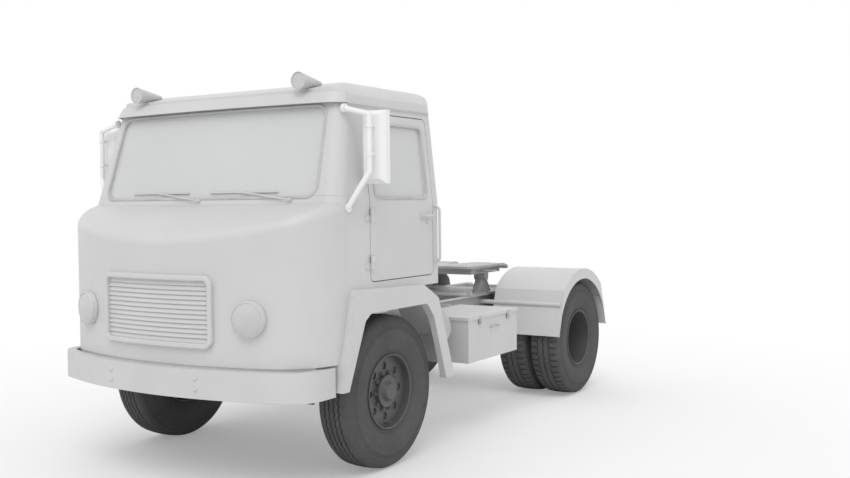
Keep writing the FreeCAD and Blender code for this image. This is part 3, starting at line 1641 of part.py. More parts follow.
def seat_cushions():
    """Cushion and back rest of both seats, as plain rounded pads."""
    low = seat_base_top + seat_gap
    half = seat_width / 2
    y1 = seat_front_y + seat_depth
    pads = []
    for side in (-1, 1):
        x = side * seat_x
        seat = side_prism([(seat_front_y, low, cushion_round), (y1, low, 0),
                           (y1, low + cushion_height, 0),
                           (seat_front_y, low + cushion_height, cushion_round)], x - half, x + half)
        base = low + cushion_height + seat_gap
        back = side_prism([(y1 - back_depth - back_lean, base, 0), (y1 - back_lean, base, 0),
                           (y1 + back_lean, base + back_height, cushion_round),
                           (y1 + back_lean - back_depth * 2 / 3, base + back_height, cushion_round)],
                          x - half, x + half)
        pads += [seat, back]
    return Part.makeCompound(pads)


def dashboard():
    """Dash across the cab under the windscreen, with a hooded rear edge."""
    half = cab_half_width - cab_wall - skin_gap
    points = [
        (dash_front_y, dash_bottom_z + dash_lip, 0),
        (dash_front_y, dash_top_z - dash_lip, 0),
        (dash_front_y + dash_lip, dash_top_z, dash_round),
        (dash_rear_y, dash_top_z - dash_lip / 2, dash_round / 2),
        (dash_rear_y + dash_lip / 2, dash_top_z - 2 * dash_lip, dash_round / 2),
        (dash_rear_y - dash_lip, dash_bottom_z, dash_round / 2),
    ]
    return side_prism(points, -half, half).common(lower_body(cab_wall + skin_gap))


def steering_wheel():
    """Column from the floor, hub, spokes and a round rim."""
    foot = V(seat_x, steer_foot_y, floor_top + seat_gap)
    centre = V(seat_x, steer_wheel_y, steer_wheel_z)
    axis = centre.sub(foot).normalize()
    section = []
    for index in range(steer_rim_sides):
        angle = 2 * math.pi * index / steer_rim_sides
        section.append((steer_rim_radius * math.sin(angle),
                        steer_wheel_radius + steer_rim_radius * math.cos(angle), 0))
    parts = [revolved_along(section, centre, axis)]
    low = centre.sub(V(axis).multiply(steer_hub_height))
    parts.append(rod_between(low, centre, steer_hub_radius))
    column = rod_between(foot.sub(V(axis).multiply(steer_column_radius)), low, steer_column_radius)
    reach = steer_column_radius * 2
    parts.append(column.cut(box(foot.x - reach, foot.x + reach, foot.y - reach, foot.y + reach,
                                floor_bottom - reach, foot.z)))
    for index in range(spoke_count):
        angle = 2 * math.pi * index / spoke_count + math.pi / 2
        spoke = box(0, steer_wheel_radius, -spoke_width / 2, spoke_width / 2, -spoke_thickness, 0)
        spoke.rotate(V(0, 0, 0), V(0, 0, 1), math.degrees(angle))
        turn = FreeCAD.Rotation(V(0, 0, 1), axis)
        spoke.Placement = FreeCAD.Placement(centre, turn).multiply(spoke.Placement)
        parts.append(spoke)
    return fused(parts)


def grille():
    """Raised frame with cut corners, sleeve through the panel and bowed slats."""
    half = grille_half_width
    low, high = grille_bottom, grille_top
    band = grille_band

    def outline(inset):
        corner = grille_chamfer - inset * (1 - math.sqrt(0.5)) * 2
        h, a, b = half - inset, low + inset, high - inset
        return [(-h + corner, a, 0), (h - corner, a, 0), (h, a + corner, 0), (h, b - corner, 0),
                (h - corner, b, 0), (-h + corner, b, 0), (-h, b - corner, 0), (-h, a + corner, 0)]
    y0 = cab_front_y - 2 * grille_proud
    y1 = cab_front_y + 4 * cab_wall

    def layer(outer_inset, inner_inset, points):
        z0, z1 = low - overrun, high + overrun
        bowed = cab_plan(outer_inset, z0, z1).cut(cab_plan(inner_inset, z0, z1))
        return bowed.common(front_prism(points, y0, y1))
    hole = front_prism(outline(band + grille_sleeve), y0 - overrun, y1 + overrun)
    ring = layer(-grille_proud, -seat_gap, outline(0)).cut(hole)
    sleeve_points = rectangle(half - band - seat_gap, low + band + seat_gap, high - band - seat_gap,
                              grille_chamfer / 2)
    sleeve = layer(-grille_proud / 2, cab_wall, sleeve_points).cut(hole)
    parts = [ring, sleeve]
    slat_low = low + band + grille_sleeve
    slat_high = high - band - grille_sleeve
    pitch = (slat_high - slat_low) / slat_count
    for index in range(slat_count):
        z0 = slat_low + pitch * (index + slat_gap_share / 2)
        z1 = slat_low + pitch * (index + 1 - slat_gap_share / 2)
        blade = rectangle(half - band - grille_sleeve / 2, z0, z1, 0)
        parts.append(layer(slat_recess, slat_recess + slat_thickness, blade))
    for index in range(post_count):
        x = (half - band) * ((index + 1) * 2 / (post_count + 1) - 1)
        post = [(x - post_width / 2, slat_low - grille_sleeve / 2, 0),
                (x + post_width / 2, slat_low - grille_sleeve / 2, 0),
                (x + post_width / 2, slat_high + grille_sleeve / 2, 0),
                (x - post_width / 2, slat_high + grille_sleeve / 2, 0)]
        parts.append(layer(slat_recess + slat_thickness / 2, cab_wall, post))
    return fused(parts)


def headlamps():
    """Round lamps let into the bowed panel: bowl, bezel and domed lens."""
    lamps = []
    for side in (-1, 1):
        x = side * headlamp_x
        outward = front_normal(x)
        place = V(x, front_surface_y(x), headlamp_z)
        bezel = headlamp_bezel_out
        lens = headlamp_lens_radius
        points = [
            (-headlamp_bowl_depth, 0, 0), (-headlamp_bowl_depth, headlamp_bowl_radius, 0),
            (seat_gap, headlamp_bowl_radius, 0), (seat_gap, headlamp_radius, 0),
            (bezel / 2, headlamp_radius, 0), (bezel, headlamp_radius - headlamp_bezel / 2, 0),
            (bezel, lens, cap_bulge(lens, headlamp_dome)), (bezel + headlamp_dome, 0, 0),
        ]
        lamps.append(revolved_along(points, place, outward))
    return Part.makeCompound(lamps)


def horns():
    """Trumpet horns on the roof over the sun visor: open cones, each on two feet."""
    bell = horn_bell_radius
    tail = horn_tail_radius
    length = horn_length
    cup = length * horn_cup_share
    cup_radius = bell - (bell - tail) * horn_cup_share - horn_wall
    points = [
        (0, bell, 0), (length, tail, 0), (length, 0, 0), (cup, 0, 0), (cup, cup_radius, 0),
        (0, bell - horn_wall, 0),
    ]
    parts = [revolved_along(points, V(horn_x, horn_front_y, horn_z), V(0, 1, 0))]
    half = horn_foot_width / 2
    for share in horn_foot_shares:
        y = horn_front_y + length * share
        height = horn_z - bell + (bell - tail) * share + horn_wall
        parts.append(box(horn_x - half, horn_x + half, y - horn_foot_length / 2,
                         y + horn_foot_length / 2, roof_front_z - overrun, height))
    return both_sides(fused(parts).cut(cab_form(-skin_gap)))


def mirrors():
    """Mirror heads with a deep bevelled front, clipped to bent tubes on the windscreen pillars."""
    rear_y = mirror_front_y + mirror_depth
    back = box(mirror_inner_x, mirror_outer_x, mirror_front_y, rear_y, mirror_low_z, mirror_high_z)
    edges = [edge for edge in back.Edges if edge.BoundBox.YMax < mirror_front_y + seat_gap]
    head = back.makeChamfer(mirror_bevel, edges)
    high_root = V(mirror_root_x(mirror_root_high_z), mirror_root_high_y, mirror_root_high_z)
    low_root = V(mirror_root_x(mirror_root_low_z), mirror_root_low_y, mirror_root_low_z)
    high_elbow = V(mirror_tube_x, mirror_tube_y, mirror_elbow_high_z)
    low_elbow = V(mirror_tube_x, mirror_tube_y, mirror_elbow_low_z)
    radius = mirror_tube_radius
    parts = [head]
    for start, end in ((high_root, high_elbow), (high_elbow, low_elbow), (low_elbow, low_root)):
        parts.append(rod_between(start, end, radius))
    for place in (high_elbow, low_elbow):
        parts.append(Part.makeSphere(radius, place))
    for place in (high_root, low_root):
        parts.append(rod_x(place.x - cab_wall / 4, place.x + mirror_foot_thickness, place.y, place.z,
                           mirror_foot_radius))
    for share in mirror_clip_shares:
        z = mirror_elbow_low_z + (mirror_elbow_high_z - mirror_elbow_low_z) * share
        parts.append(rod_y(mirror_tube_y, mirror_front_y + mirror_bevel,
                           mirror_tube_x, z, mirror_clip_radius))
    solid = fused(parts).cut(cab_form(-seat_gap))
    return both_sides(solid)


def mirror_root_x(z):
    """Outer face of the windscreen pillar at height z."""
    grow = max(z - belt_z, 0) / (screen_head_z - belt_z)
    return cab_half_width + (head_half_width - cab_half_width) * grow


def save(name, shape):
    """Write one sub-part, with the whole vehicle centred on its origin."""
    placed = shape.copy()
    placed.translate(V(0, -middle_y, 0))
    placed.exportStep("parts/" + name + ".step")
    print(name, len(placed.Solids), placed.isValid(), round(placed.Volume))


def all_parts():
    """Every sub-part of the vehicle by its name."""
    parts = cab_panels()
    parts["cab_floor"] = cab_floor()
    parts["engine_tunnel"] = engine_tunnel()
    parts["seat_boxes"] = seat_boxes()
    parts["cab_glass"] = cab_glass()
    parts["wheel_arches"] = both_sides(wheel_arch_left())
    parts["grille"] = grille()
    parts["headlamps"] = headlamps()
    parts["horns"] = horns()
    parts["mirrors"] = mirrors()
    parts["dashboard"] = dashboard()
    parts["steering_wheel"] = steering_wheel()
    parts["seat_cushions"] = seat_cushions()
    parts["front_bumper"] = front_bumper()
    parts["frame_rails"] = frame_rails()
    parts["leaf_springs"] = leaf_springs()
    parts["front_axle_beam"] = front_axle_beam()
    parts["rear_axle_housing"] = rear_axle_housing()
    parts["engine_block"] = engine_block()
    parts["propshaft"] = propshaft()
    parts["radiator"] = radiator()
    parts["battery_box"] = battery_box()
    parts["air_tank"] = air_tank()
    parts["fuel_tank"] = fuel_tank()
    parts["exhaust"] = exhaust()
    parts["fifth_wheel_base"] = fifth_wheel_base()
    parts["fifth_wheel_plate"] = fifth_wheel_plate()
    parts["rear_mudguards"] = both_sides(rear_mudguard_left())
    parts["tail_lamps"] = tail_lamps()
    parts["tie_rod"] = tie_rod()
    for name, left in (
        ("door", door_left()),
        ("door_glass", door_glass_left()),
        ("knuckle", knuckle_left()),
        ("front_tyre", front_tyre_left()),
        ("front_rim", front_rim_left()),
        ("rear_tyres", rear_tyres_left()),
        ("rear_rims", rear_rims_left()),
    ):
        parts[name + "_left"] = left
        parts[name + "_right"] = mirrored(left)
    return parts


os.makedirs("parts", exist_ok=True)
for part_name, part in all_parts().items():
    save(part_name, part)
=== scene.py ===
import json
import math

import bmesh
import bpy
from mathutils import Matrix, Vector
from mathutils.bvhtree import BVHTree


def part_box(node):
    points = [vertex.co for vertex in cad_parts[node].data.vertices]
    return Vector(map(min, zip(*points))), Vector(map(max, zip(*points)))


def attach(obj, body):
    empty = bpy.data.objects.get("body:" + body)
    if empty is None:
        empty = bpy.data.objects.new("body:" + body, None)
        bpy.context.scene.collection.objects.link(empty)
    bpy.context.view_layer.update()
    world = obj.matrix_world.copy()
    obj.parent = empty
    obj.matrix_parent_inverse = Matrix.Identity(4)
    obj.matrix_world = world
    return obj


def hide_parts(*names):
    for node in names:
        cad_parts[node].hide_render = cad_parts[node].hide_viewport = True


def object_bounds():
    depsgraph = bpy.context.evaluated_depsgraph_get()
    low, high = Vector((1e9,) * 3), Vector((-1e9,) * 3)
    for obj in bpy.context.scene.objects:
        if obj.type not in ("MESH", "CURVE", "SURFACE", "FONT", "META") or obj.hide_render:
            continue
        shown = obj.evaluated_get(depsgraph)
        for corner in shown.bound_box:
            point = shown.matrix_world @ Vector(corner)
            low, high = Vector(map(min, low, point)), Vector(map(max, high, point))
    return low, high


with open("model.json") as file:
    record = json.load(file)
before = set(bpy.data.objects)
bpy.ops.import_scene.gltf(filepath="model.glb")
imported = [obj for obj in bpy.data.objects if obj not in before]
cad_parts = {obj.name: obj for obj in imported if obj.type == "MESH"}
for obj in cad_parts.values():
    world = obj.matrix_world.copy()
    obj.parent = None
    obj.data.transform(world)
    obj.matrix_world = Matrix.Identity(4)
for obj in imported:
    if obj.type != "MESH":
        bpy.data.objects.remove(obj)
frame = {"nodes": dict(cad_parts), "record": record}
cad_low, cad_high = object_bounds()
nodes = frame["nodes"]
scene = bpy.context.scene
scene.view_settings.view_transform = "Standard"

# Camera
CAMERA_PLACE = Vector((4.932, -7.0425, 1.873))
CAMERA_YAW = math.radians(31.78)
CAMERA_PITCH = math.radians(2.2)
CAMERA_ROLL = math.radians(-0.58)
SENSOR = 36
PHOTO_WIDTH = 850
FOCAL_PIXELS = 983.8

# World, key light and floor
WORLD_LEVEL = 0.82
SUN_ENERGY = 0.95
SUN_ANGLE = math.radians(40)
SUN_TURN = (math.radians(36), 0, math.radians(24))
FLOOR_SIZE = 160
FADE_FROM = 2.2
FADE_TO = 6.5

# Directions: out to the left, back and up
OUT = Vector((1, 0, 0))
BACK = Vector((0, 1, 0))
UP = Vector((0, 0, 1))
ROD_LEAN = Vector((0.31, 0.17, 0.93)).normalized()

# Fineness of paths
TINY = 1e-6
BEND_STEPS = 5
RUN_SPACING = 0.06

# Places read from the frame
FRONT_LOW, FRONT_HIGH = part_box("front_tyre_left")
REAR_LOW, REAR_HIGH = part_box("rear_tyres_left")
TYRE_RADIUS = (FRONT_HIGH.z - FRONT_LOW.z) / 2
FRONT_AXLE = Vector((0, (FRONT_LOW.y + FRONT_HIGH.y) / 2, TYRE_RADIUS))
REAR_AXLE = Vector((0, (REAR_LOW.y + REAR_HIGH.y) / 2, TYRE_RADIUS))
FRONT_WIDTH = FRONT_HIGH.x - FRONT_LOW.x
REAR_WIDTH = 0.310
TWIN_PITCH = REAR_HIGH.x - REAR_LOW.x - REAR_WIDTH

# Tyres: the side wall as (inset, radius), and the tread's turns as (share, sway, cut)
TREAD_EDGE = 0.045
CROWN_GAP = 0.0005
CROWN_DROP = 0.006
GROOVE_DEPTH = 0.013
GROOVE_WIDTH = 0.011
GROOVE_TAPER = 0.7
ZIGZAG = 0.006
WALL_CURVE = ((0.046, 0.2625), (0.034, 0.265), (0.029, 0.276), (0.019, 0.300), (0.010, 0.330),
              (0.003, 0.365), (0, 0.400), (0.001, 0.425), (0, 0.430), (0, 0.436), (0.004, 0.441),
              (0.010, 0.470), (0.017, 0.492), (0.013, 0.497), (0.019, 0.510), (0.030, 0.5245),
              (TREAD_EDGE, 0.5335))
WALL_RIBS = (0.286, 0.293, 0.450, 0.458)
RIB_HALF = 0.0022
RIB_HEIGHT = 0.0016
CUT_SHARES = (0.2, 0.8, 1)
ROAD_TREAD = (60, ((0, -0.5, 0), (0.42, -0.5, 0), (0.5, 0.5, 0), (0.92, 0.5, 0)))
DRIVE_TREAD = (54, ((0, 0.5, 0), (0.30, 1, 0), (0.64, -1, 0), (0.69, -1, 1), (0.95, 0.2, 1)))

# Wheels
NUT_CIRCLE = 0.131
NUT_COUNT = 10
NUT_RADIUS = 0.0135
NUT_HEIGHT = 0.020
CAP_CIRCLE = 0.05184
CAP_BOLTS = 6
CAP_OUT = 0.031
RIM_INSET = 0.030
FRONT_FACE_X = FRONT_HIGH.x - 0.078
REAR_FACE_X = 0.902
RIM_PROFILE = ((-0.012, 0.2575), (-0.006, 0.2625), (0.002, 0.2655), (0.007, 0.2630), (0.008, 0.2570),
               (0.003, 0.2515), (-0.008, 0.2510))
VALVE_PROFILE = ((0, 0.006), (0.03, 0.006), (0.03, 0.0045), (0.045, 0.0045), (0.045, 0.0065), (0.058, 0.0062),
                 (0.060, 0.004))

# Cab openings, as the panels have them
SCREEN_LOW_Z = 1.915
SCREEN_HIGH_Z = 2.505
SCREEN_HALF_LOW = 0.985
SCREEN_HALF_HIGH = 0.950
SCREEN_ROUND = 0.070
REAR_WINDOW_HALF = 0.420
REAR_WINDOW_LOW_Z = 1.990
REAR_WINDOW_HIGH_Z = 2.390
REAR_WINDOW_ROUND = 0.060
DOOR_FRONT = -0.300
DOOR_HIGH_FRONT = -0.270
DOOR_REAR = 0.515
DOOR_LEAN_Z = 2.050
DOOR_HIGH_Z = 2.478
DOOR_BORDER = 0.078
DOOR_SILL_Z = 1.905
DOOR_GLASS_ROUND = 0.040
CAB_SIDE_X = 1.150
SEAL_WIDTH = 0.022
SEAL_HEIGHT = 0.007
SEAL_OVERLAP = 0.45
SEAL_SECTION = ((-0.5, -0.35), (-0.5, 0.25), (-0.30, 0.85), (0.0, 1.0), (0.32, 0.8), (0.5, 0.2), (0.5, -0.35))

# Cab trim
HANDLE_Y = 0.415
HANDLE_Z = 1.765
ARMREST_Z = 1.62
DOOR_WALL = 0.040
GRAB_Y = 0.540
GRAB_LOW_Z = 1.42
GRAB_HIGH_Z = 1.84
GRAB_STAND = 0.042
GUTTER_Z = 2.520
GUTTER_FRONT = -0.44
GUTTER_STEP = 0.042
GUTTER_SECTION = ((-0.006, -0.004), (-0.006, 0.010), (-0.003, 0.012), (-0.001, 0.004), (0.007, 0.004),
                  (0.007, -0.004))
WIPER_Z = 1.888
WIPER_RISE = 0.052
WIPER_REACH = -0.66
WIPER_PIVOTS = (0.80, 0.02)
BLADE_Z = 1.942

# Grille: rounded frame with cut corners, and its blades
GRILLE_HALF = 0.493
GRILLE_LOW_Z = 0.941
GRILLE_HIGH_Z = 1.413
GRILLE_CUT = 0.042
GRILLE_ROUND = 0.012
GRILLE_BAND = 0.036
GRILLE_PROUD = 0.034
GRILLE_SECTION = ((-0.5, -0.06), (-0.5, 0.75), (-0.28, 1), (0.28, 1), (0.5, 0.75), (0.5, -0.06))
BLADE_COUNT = 13
BLADE_SECTION = ((-0.54, 0.0005), (-0.54, 0.0025), (0.46, 0.0130), (0.50, 0.0122), (0.50, 0.0100),
                 (0.46, 0.0105))
BLADE_END = 0.008

# Headlamps: a shallow drum with a domed lens
LAMP_X = 0.743
LAMP_RADIUS = 0.1165
LAMP_DRUM = 0.046
LAMP_LENS_RADIUS = 0.1060
LAMP_LENS_INSET = 0.004
LAMP_LENS_BACK = 0.002
LENS_RINGS = 18
LENS_SIDES = 96
LAMP_RISE = 0.026
LAMP_BOWL_RADIUS = 0.0915
LAMP_BOWL_DEPTH = 0.036
LAMP_SPAN = 0.130
PANEL_BOW = 2.740
FLUTE_PITCH = 0.0065
FLUTE_HEIGHT = 0.0006
FLUTE_BAND = 0.07
FLUTE_RIM_SHARE = 0.94

# Horns, mirrors and tail lamps
BELL_RADIUS = 0.060
PANE_LOW_X = 1.176
PANE_HIGH_X = 1.334
PANE_LOW_Z = 2.010
PANE_HIGH_Z = 2.450
PANE_ROUND = 0.016
PANE_RIM = 0.004
MIRROR_FEET = ((1.093, -0.478, 2.488), (1.162, -0.548, 1.835))
MIRROR_CLAMPS = (2.181, 2.366)
TUBE_X = 1.273
TUBE_Y = -0.471
TAIL_LENSES = (("red", 0.540, 0.648), ("white", 0.650, 0.713), ("amber", 0.715, 0.780))
LENS_MARGIN = 0.010
LENS_RIBS = 9

# Seats: the outline of one seat, as its solids have it
SEAT_X = 0.690
SEAT_HALF = 0.240
SEAT_FRONT = -0.170
SEAT_REAR = 0.330
SEAT_LOW_Z = 1.5453
SEAT_HIGH_Z = 1.6653
BACK_LOW_Z = 1.6660
BACK_HIGH_Z = 2.2660
BACK_LOW_FRONT = 0.150
BACK_LOW_REAR = 0.270
BACK_HIGH_FRONT = 0.310
BACK_HIGH_REAR = 0.390
PAD_VOXEL = 0.010
PAD_SHRINK = 0.010
PAD_ROUND = 0.030
PAD_PRESSURE = 4
PAD_CAP = 0.014
PAD_FRAMES = 20
PAD_SLACK = 0.004
CHANNEL_SHARES = (-0.5, -0.17, 0.17, 0.5)
CHANNEL_WIDTH = 0.008
CHANNEL_DEPTH = 0.007

# Dash, instruments as (offset from the seat's middle, radius), and controls
DASH_Z = 1.690
DASH_BEHIND = 0.2
GAUGES = ((-0.13, 0.058), (0.0, 0.058), (0.115, 0.034), (0.19, 0.034))
SWITCH_COUNT = 6
SWITCH_X = 0.10
SWITCH_PITCH = 0.045
KNOB_XS = (-0.72, -0.30)
TICKS = 11
TICK_SWEEP = 0.72
TICK_HALF = 0.0008
TICK_HEIGHT = 0.0026
TUNNEL_TOP_Z = 1.500
FLOOR_TOP_Z = 1.2052
PEDALS = ((0.55, 0.07), (0.69, 0.07), (0.82, 0.05))
PEDAL_LEAN = math.radians(-35)

# Chassis
RAIL_WEB_X = 0.358
CROSS_YS = (-0.840, 1.040, 1.930, 2.590, 3.730)
CROSS_RIVET_ZS = (0.830, 0.880, 0.930)
RIVET_APART = 0.014
ROW_START = 1.20
ROW_PITCH = 0.165
ROW_COUNT = 15
ROW_Z = 0.945
SPRING_X = 0.415
BOLT_SPREAD = 0.049
BOLT_RADIUS = 0.008
SPRING_EYES = ((FRONT_AXLE.y, 0.620, 0.6945), (REAR_AXLE.y, 0.600, 0.745))
EYE_OUT = 0.0463
BUMPER_BOLT_X = 0.390
BUMPER_BOLT_ZS = (0.685, 0.755)
STRIP_Z = 0.822
STRIP_PIVOT = Vector((0, FRONT_AXLE.y - 0.200, 0.840))
STRIP_TURN = math.radians(60)
STRIP_INSET = 0.010
STRIP_SECTION = ((-0.009, -0.004), (-0.009, 0.004), (0.050, 0.004), (0.050, -0.004))
TANK_FRONT = 1.070
TANK_LENGTH = 0.855
FUEL_CAP_X = -0.850
FUEL_CAP_SHARE = 0.25
CAP_KNURLS = 28
AIR_TANK_INNER_X = 0.52
AIR_TANK_Z = 0.880
COUPLING_Y = 2.760
COUPLING_BOLT_X = 0.395
GUARD_LEG = 0.578
GUARD_LEG_Z = 0.615
GUARD_KNEE = 0.446
GUARD_KNEE_Z = 1.030
GUARD_CROWN = 0.668
BEAD_RADIUS = 0.0055
BEAD_INSET = 0.004


def along(y):
    """Frame place of a distance behind the front axle."""
    return FRONT_AXLE.y + y


def at(x, y, z):
    """Point of the frame, its y counted from the front axle."""
    return Vector((x, along(y), z))


# Mesh helpers


def new_mesh(name, build):
    """Mesh made by a function that fills a bmesh."""
    mesh = bpy.data.meshes.new(name)
    bm = bmesh.new()
    build(bm)
    bmesh.ops.recalc_face_normals(bm, faces=bm.faces)
    bm.to_mesh(mesh)
    bm.free()
    return mesh


def add_piece(name, build, slot="cab_paint", look=None, body="chassis", replaces=(), sharp=35):
    """Piece of the visual model, riding on a body."""
    mesh = new_mesh(name, build)
    for polygon in mesh.polygons:
        polygon.use_smooth = True
    mesh.set_sharp_from_angle(angle=math.radians(sharp))
    mesh.materials.append(looks[look or slot].material)
    piece = bpy.data.objects.new(name, mesh)
    scene.collection.objects.link(piece)
    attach(piece, body)
    if replaces:
        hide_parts(*replaces)


def turns(steps, start=0):
    """Angles that share out a full turn."""
    return [2 * math.pi * (step + start) / steps for step in range(steps)]


def turn_to(direction):
    """Turn that takes the upward direction to another."""
    return UP.rotation_difference(direction).to_matrix()


def join_rings(bm, first, second):
    """Faces between two rings, either of which may be one point."""
    count = max(len(first), len(second))
    for index in range(count):
        following = (index + 1) % count
        corners = [first[index % len(first)], first[following % len(first)],
                   second[following % len(second)], second[index % len(second)]]
        unique = list(dict.fromkeys(corners))
        if len(unique) > 2:
            bm.faces.new(unique)


def join_all(bm, rings, closed=False):
    """Faces between each ring and the next, and back to the first where closed."""
    for first, second in zip(rings, rings[1:]):
        join_rings(bm, first, second)
    if closed:
        join_rings(bm, rings[-1], rings[0])


def capped(bm, rings):
    """Faces between the rings and over both ends."""
    join_all(bm, rings)
    bm.faces.new(rings[0])
    bm.faces.new(list(reversed(rings[-1])))


def lathe(bm, profile, place, axis, steps=32, closed=False):
    """Turned shape from (distance, radius) points, flat at its ends unless it closes on itself."""
    turn = turn_to(axis)
    profile = list(profile)
    if not closed:
        first, last = profile[0], profile[-1]
        profile = [(first[0], 0)] * (first[1] > TINY) + profile + [(last[0], 0)] * (last[1] > TINY)
    rings = []
    for distance, radius in profile:
        angles = turns(steps) if radius > TINY else [0]
        rings.append([bm.verts.new(place + turn @ Vector((radius * math.cos(angle), radius * math.sin(angle),
                                                          distance))) for angle in angles])
    join_all(bm, rings, closed)


def sweep(bm, path, section, outward, closed=False):
    """Section of (across, out) points carried along a path, with its outward direction at each place."""
    rings = []
    count = len(path)
    for index, place in enumerate(path):
        before = path[index - 1] if closed or index > 0 else place
        after = path[(index + 1) % count] if closed or index < count - 1 else place
        forward = (after - before).normalized()
        side = forward.cross(outward[index]).normalized()
        up = side.cross(forward).normalized()
        rings.append([bm.verts.new(place + side * across + up * out) for across, out in section])
    if closed:
        join_all(bm, rings, True)
    else:
        capped(bm, rings)


def rod(bm, path, radius, sides=10, lean=ROD_LEAN):
    """Round rod along a path."""
    section = [(radius * math.cos(angle), radius * math.sin(angle)) for angle in turns(sides)]
    sweep(bm, path, section, [lean] * len(path))


def soft_path(corners, reach):
    """Open path through corners, each rounded by a short curve."""
    path = [corners[0]]
    for before, corner, after in zip(corners, corners[1:], corners[2:]):
        start = corner + (before - corner).normalized() * reach
        end = corner + (after - corner).normalized() * reach
        for step in range(BEND_STEPS + 1):
            share = step / BEND_STEPS
            path.append(start.lerp(corner, share).lerp(corner.lerp(end, share), share))
    path.append(corners[-1])
    return path


def block(bm, low, high, bevel, segments=2, turn=Matrix.Identity(3)):
    """Box between two corners with rounded edges, turned about its middle."""
    low, high = Vector(low), Vector(high)
    size = Matrix.Diagonal((*(high - low), 1))
    place = Matrix.Translation((low + high) / 2) @ turn.to_4x4() @ size
    made = bmesh.ops.create_cube(bm, size=1, matrix=place)["verts"]
    edges = list({edge for vert in made for edge in vert.link_edges})
    bmesh.ops.bevel(bm, geom=edges, offset=bevel, segments=segments, affect="EDGES", profile=0.5)


def nut(bm, place, axis, radius=NUT_RADIUS, height=NUT_HEIGHT):
    """Hexagon nut with a chamfered top, on a round washer, with the stud's end."""
    washer = radius * 1.45
    thick = height * 0.16
    lathe(bm, [(-thick, washer), (thick, washer), (thick * 1.4, washer * 0.93)], place, axis, 16)
    lathe(bm, [(thick, radius), (height * 0.85, radius), (height, radius * 0.82)], place, axis, 6)
    lathe(bm, [(height * 0.9, radius * 0.5), (height * 1.25, radius * 0.46), (height * 1.32, radius * 0.36)],
          place, axis, 10)


def rivet(bm, place, axis, radius=0.009):
    """Round-headed rivet or bolt."""
    shares = ((-0.2, 1), (0.2, 1), (0.5, 0.8), (0.65, 0.4), (0.7, 0))
    lathe(bm, [(radius * rise, radius * wide) for rise, wide in shares], place, axis, 10)


def both_sides(build):
    """Builds a shape and its mirror image across the centre line."""
    def build_pair(bm):
        half = bmesh.new()
        build(half)
        mesh = bpy.data.meshes.new("half")
        half.to_mesh(mesh)
        half.free()
        bm.from_mesh(mesh)
        mesh.transform(Matrix.Scale(-1, 4, OUT))
        bm.from_mesh(mesh)
        bpy.data.meshes.remove(mesh)
    return build_pair


def mirror_build(build):
    """Builds only the mirror image of a shape."""
    def build_mirror(bm):
        build(bm)
        for vert in bm.verts:
            vert.co.x = -vert.co.x
        bmesh.ops.reverse_faces(bm, faces=bm.faces)
    return build_mirror


def add_each_side(name, build, body, slot, look=None, replaces=(), sharp=35):
    """A left piece and its mirror image, each on the body of its own side."""
    for side, made in (("left", build), ("right", mirror_build(build))):
        replaced = [node.format(side) for node in replaces]
        add_piece(f"{name}_{side}", made, slot, look, body.format(side), replaced, sharp)


def skin_of(*names):
    """Search tree over the surfaces of some CAD nodes."""
    verts = []
    faces = []
    for name in names:
        start = len(verts)
        mesh = nodes[name].data
        verts += [vert.co.copy() for vert in mesh.vertices]
        faces += [[start + corner for corner in polygon.vertices] for polygon in mesh.polygons]
    return BVHTree.FromPolygons(verts, faces)


def on_skin(tree, place, direction):
    """Where a line from a place meets a skin, and the skin's direction there."""
    hit, normal, _, _ = tree.ray_cast(place, direction)
    if hit is None:
        hit, normal, _, _ = tree.find_nearest(place)
    return hit, -normal if normal.dot(direction) > 0 else normal


def from_front(x, z):
    """Line that runs back from ahead of the front."""
    return (x, cad_low[1] - 1, z), BACK


def traced(tree, lines):
    """The places where lines meet a skin, and its directions there."""
    hits = [on_skin(tree, *line) for line in lines]
    return [hit for hit, _ in hits], [normal for _, normal in hits]


def rectangle(low_x, high_x, low_z, high_z, margin):
    """Corners of a rectangle, let out by a margin."""
    return [(low_x - margin, low_z - margin), (high_x + margin, low_z - margin),
            (high_x + margin, high_z + margin), (low_x - margin, high_z + margin)]


def rounded_outline(corners, radius, steps=7):
    """Closed plane outline through corners, each with a rounding arc."""
    outline = []
    count = len(corners)
    for index, corner in enumerate(corners):
        corner = Vector(corner)
        before = (Vector(corners[index - 1]) - corner).normalized()
        after = (Vector(corners[(index + 1) % count]) - corner).normalized()
        half = before.angle(after) / 2
        reach = radius / math.tan(half)
        centre = corner + (before + after).normalized() * radius / math.sin(half)
        start = corner + before * reach - centre
        end = corner + after * reach - centre
        for step in range(steps + 1):
            outline.append(centre + start.slerp(end, step / steps).normalized() * radius)
    return outline


def filled_out(outline):
    """The outline with more points on its long runs, so that it can follow a curved skin."""
    filled = []
    for index, place in enumerate(outline):
        following = outline[(index + 1) % len(outline)]
        parts = max(1, round((following - place).length / RUN_SPACING))
        filled += [place.lerp(following, part / parts) for part in range(parts)]
    return filled


# Materials


